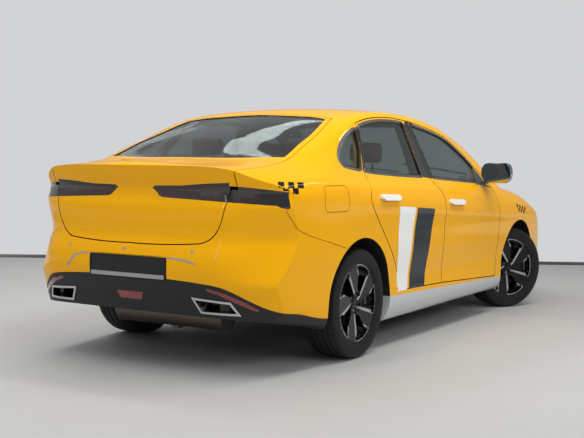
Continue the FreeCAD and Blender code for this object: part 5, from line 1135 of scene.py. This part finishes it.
# Wiper blades at the foot of the windscreen, as (x, y) in mm seen from above
wipers = {
    "blades": [((1120, -560), (1045, -20)), ((1140, 60), (1060, 560))],
    "width": 9, "step": 30, "lift": 9 * mm,
}


def topRay(point):
    return Vector((point[0] * mm, point[1] * mm, 2.2)), Vector((0, 0, -1))


for i, blade in enumerate(wipers["blades"]):
    addPatch(f"wiper_blade_{i}", [lineOutline(blade, wipers["width"])], topRay, screenSkin, "car_body",
             rubberBlack, "plastic_black", wipers["step"], wipers["lift"], both=False)
print("front dressed")

# Studio: pale floor, grey backdrop, soft lamps overhead
studio = {
    "floor": "#BDBDBB", "backdrop": "#D2D3D5", "skirting": "#4A4B4C",
    "floorRoughness": 0.6, "floorMottle": 0.4, "mottleShade": 0.94,
    "sky": 0.4, "skyColour": "#E8EAEC",
    "wallFoot": 4.4, "skirtingWide": 0.42,      # m past the car along the camera's view
    "fadeFrom": 5.5, "fadeTo": 9.5,             # m, where the floor turns into the backdrop
    "reach": 30.0,                    # m, half of the floor
    "aim": (-0.4, 0, 0.6),            # where the lamps look
    "lamps": [                        # name, place, size, watts, shows in the gloss
        ("ceilingRight", (-0.6, -2.1, 4.4), (8.0, 0.45), 92, False),
        ("ceilingMiddle", (-0.6, 0.0, 4.6), (8.0, 0.3), 90, False),
        ("ceilingLeft", (-0.6, 2.1, 4.4), (8.0, 0.45), 85, False),
        ("tubeRight", (-0.6, -2.1, 4.3), (8.0, 0.09), 26, True),
        ("tubeRear", (-6.2, 0.4, 4.3), (0.09, 5.0), 14, True),
        ("rearSky", (-6.6, 0.4, 4.4), (0.5, 5.0), 72, False),
        ("rightSky", (-1.6, -6.2, 3.4), (8.0, 1.6), 128, False),
        ("leftSky", (0.5, 6.0, 3.4), (8.0, 1.4), 70, False),
    ],
}


def plainSurface(name, colour, roughness, grain):
    # Sealed concrete: even, with a faint mottle
    material, tree, shader, place = startMaterial(name, {"Roughness": roughness})
    dim = tuple(value * studio["mottleShade"] for value in linear(colour)[:3]) + (1.0,)
    addMix(tree, addNoise(tree, place, grain, 4.0), linear(colour), dim, shader.inputs["Base Color"])
    return material


def addStage(name, corners, material):
    mesh = bpy.data.meshes.new(name)
    mesh.from_pydata(corners, [], [[0, 1, 2, 3]])
    mesh.materials.append(material)
    piece = bpy.data.objects.new(name, mesh)
    bpy.context.collection.objects.link(piece)


far = studio["reach"]
floorFinish = plainSurface("sealedConcrete", studio["floor"], studio["floorRoughness"],
                           studio["floorMottle"])
floorTree = floorFinish.node_tree
floorPlace = addNode(floorTree, "ShaderNodeTexCoord")
beyond = addNode(floorTree, "ShaderNodeVectorMath", {
    "operation": "DOT_PRODUCT", 1: Vector((cameraAhead.x, cameraAhead.y, 0)).normalized()},
    {0: floorPlace.outputs["Object"]})
# Past the wall's foot the floor takes the backdrop's colour, and a dark line stands for the skirting
wallShare = addNode(floorTree, "ShaderNodeMath", {"operation": "GREATER_THAN", 1: studio["wallFoot"]},
                    {0: beyond.outputs["Value"]})
clearShare = addNode(floorTree, "ShaderNodeMath", {
    "operation": "GREATER_THAN", 1: studio["wallFoot"] + studio["skirtingWide"]},
    {0: beyond.outputs["Value"]})
reachOut = addNode(floorTree, "ShaderNodeVectorMath", {"operation": "LENGTH"},
                   {0: floorPlace.outputs["Object"]})
fade = addNode(floorTree, "ShaderNodeMapRange", {
    "From Min": studio["fadeFrom"], "From Max": studio["fadeTo"], "To Min": 0.0, "To Max": 1.0},
    {"Value": reachOut.outputs["Value"]})
bothShares = addNode(floorTree, "ShaderNodeMath", {"operation": "MAXIMUM"},
                     {0: wallShare.outputs["Value"], 1: fade.outputs["Result"]})
farOrWall = addNode(floorTree, "ShaderNodeMath", {"operation": "MAXIMUM"},
                    {0: clearShare.outputs["Value"], 1: fade.outputs["Result"]})
wallColour = addNode(floorTree, "ShaderNodeMix", {
    "data_type": "RGBA", 6: linear(studio["skirting"]), 7: linear(studio["backdrop"])},
    {0: farOrWall.outputs["Value"]})
glow = addNode(floorTree, "ShaderNodeEmission", None, {"Color": wallColour.outputs[2]})
addNode(floorTree, "ShaderNodeMixShader", None,
        {0: bothShares.outputs["Value"], 1: floorTree.nodes["Principled BSDF"].outputs["BSDF"],
         2: glow.outputs["Emission"]},
        {"Shader": floorTree.nodes["Material Output"].inputs["Surface"]})
addStage("studio_floor", [(-far, -far, 0), (far, -far, 0), (far, far, 0), (-far, far, 0)], floorFinish)
world = bpy.data.worlds.new("studioWorld")
world.use_nodes = True
scene.world = world
skyTree = world.node_tree
background = skyTree.nodes["Background"]
background.inputs["Color"].default_value = linear(studio["skyColour"])
background.inputs["Strength"].default_value = studio["sky"]
seen = addNode(skyTree, "ShaderNodeBackground", {"Color": linear(studio["backdrop"]), "Strength": 1.0})
rays = addNode(skyTree, "ShaderNodeLightPath")
addNode(skyTree, "ShaderNodeMixShader", None,
        {0: rays.outputs["Is Camera Ray"], 1: background.outputs["Background"],
         2: seen.outputs["Background"]},
        {"Shader": skyTree.nodes["World Output"].inputs["Surface"]})
for name, place, (wide, deep), watts, glossy in studio["lamps"]:
    lamp = bpy.data.lights.new(name, "AREA")
    lamp.shape = "RECTANGLE"
    lamp.size, lamp.size_y, lamp.energy = wide, deep, watts
    holder = bpy.data.objects.new(name, lamp)
    holder.location = place
    holder.visible_glossy = glossy
    aim = Vector(studio["aim"]) - Vector(place)
    holder.rotation_euler = aim.to_track_quat("-Z", "Y").to_euler()
    bpy.context.collection.objects.link(holder)
print("studio lit")
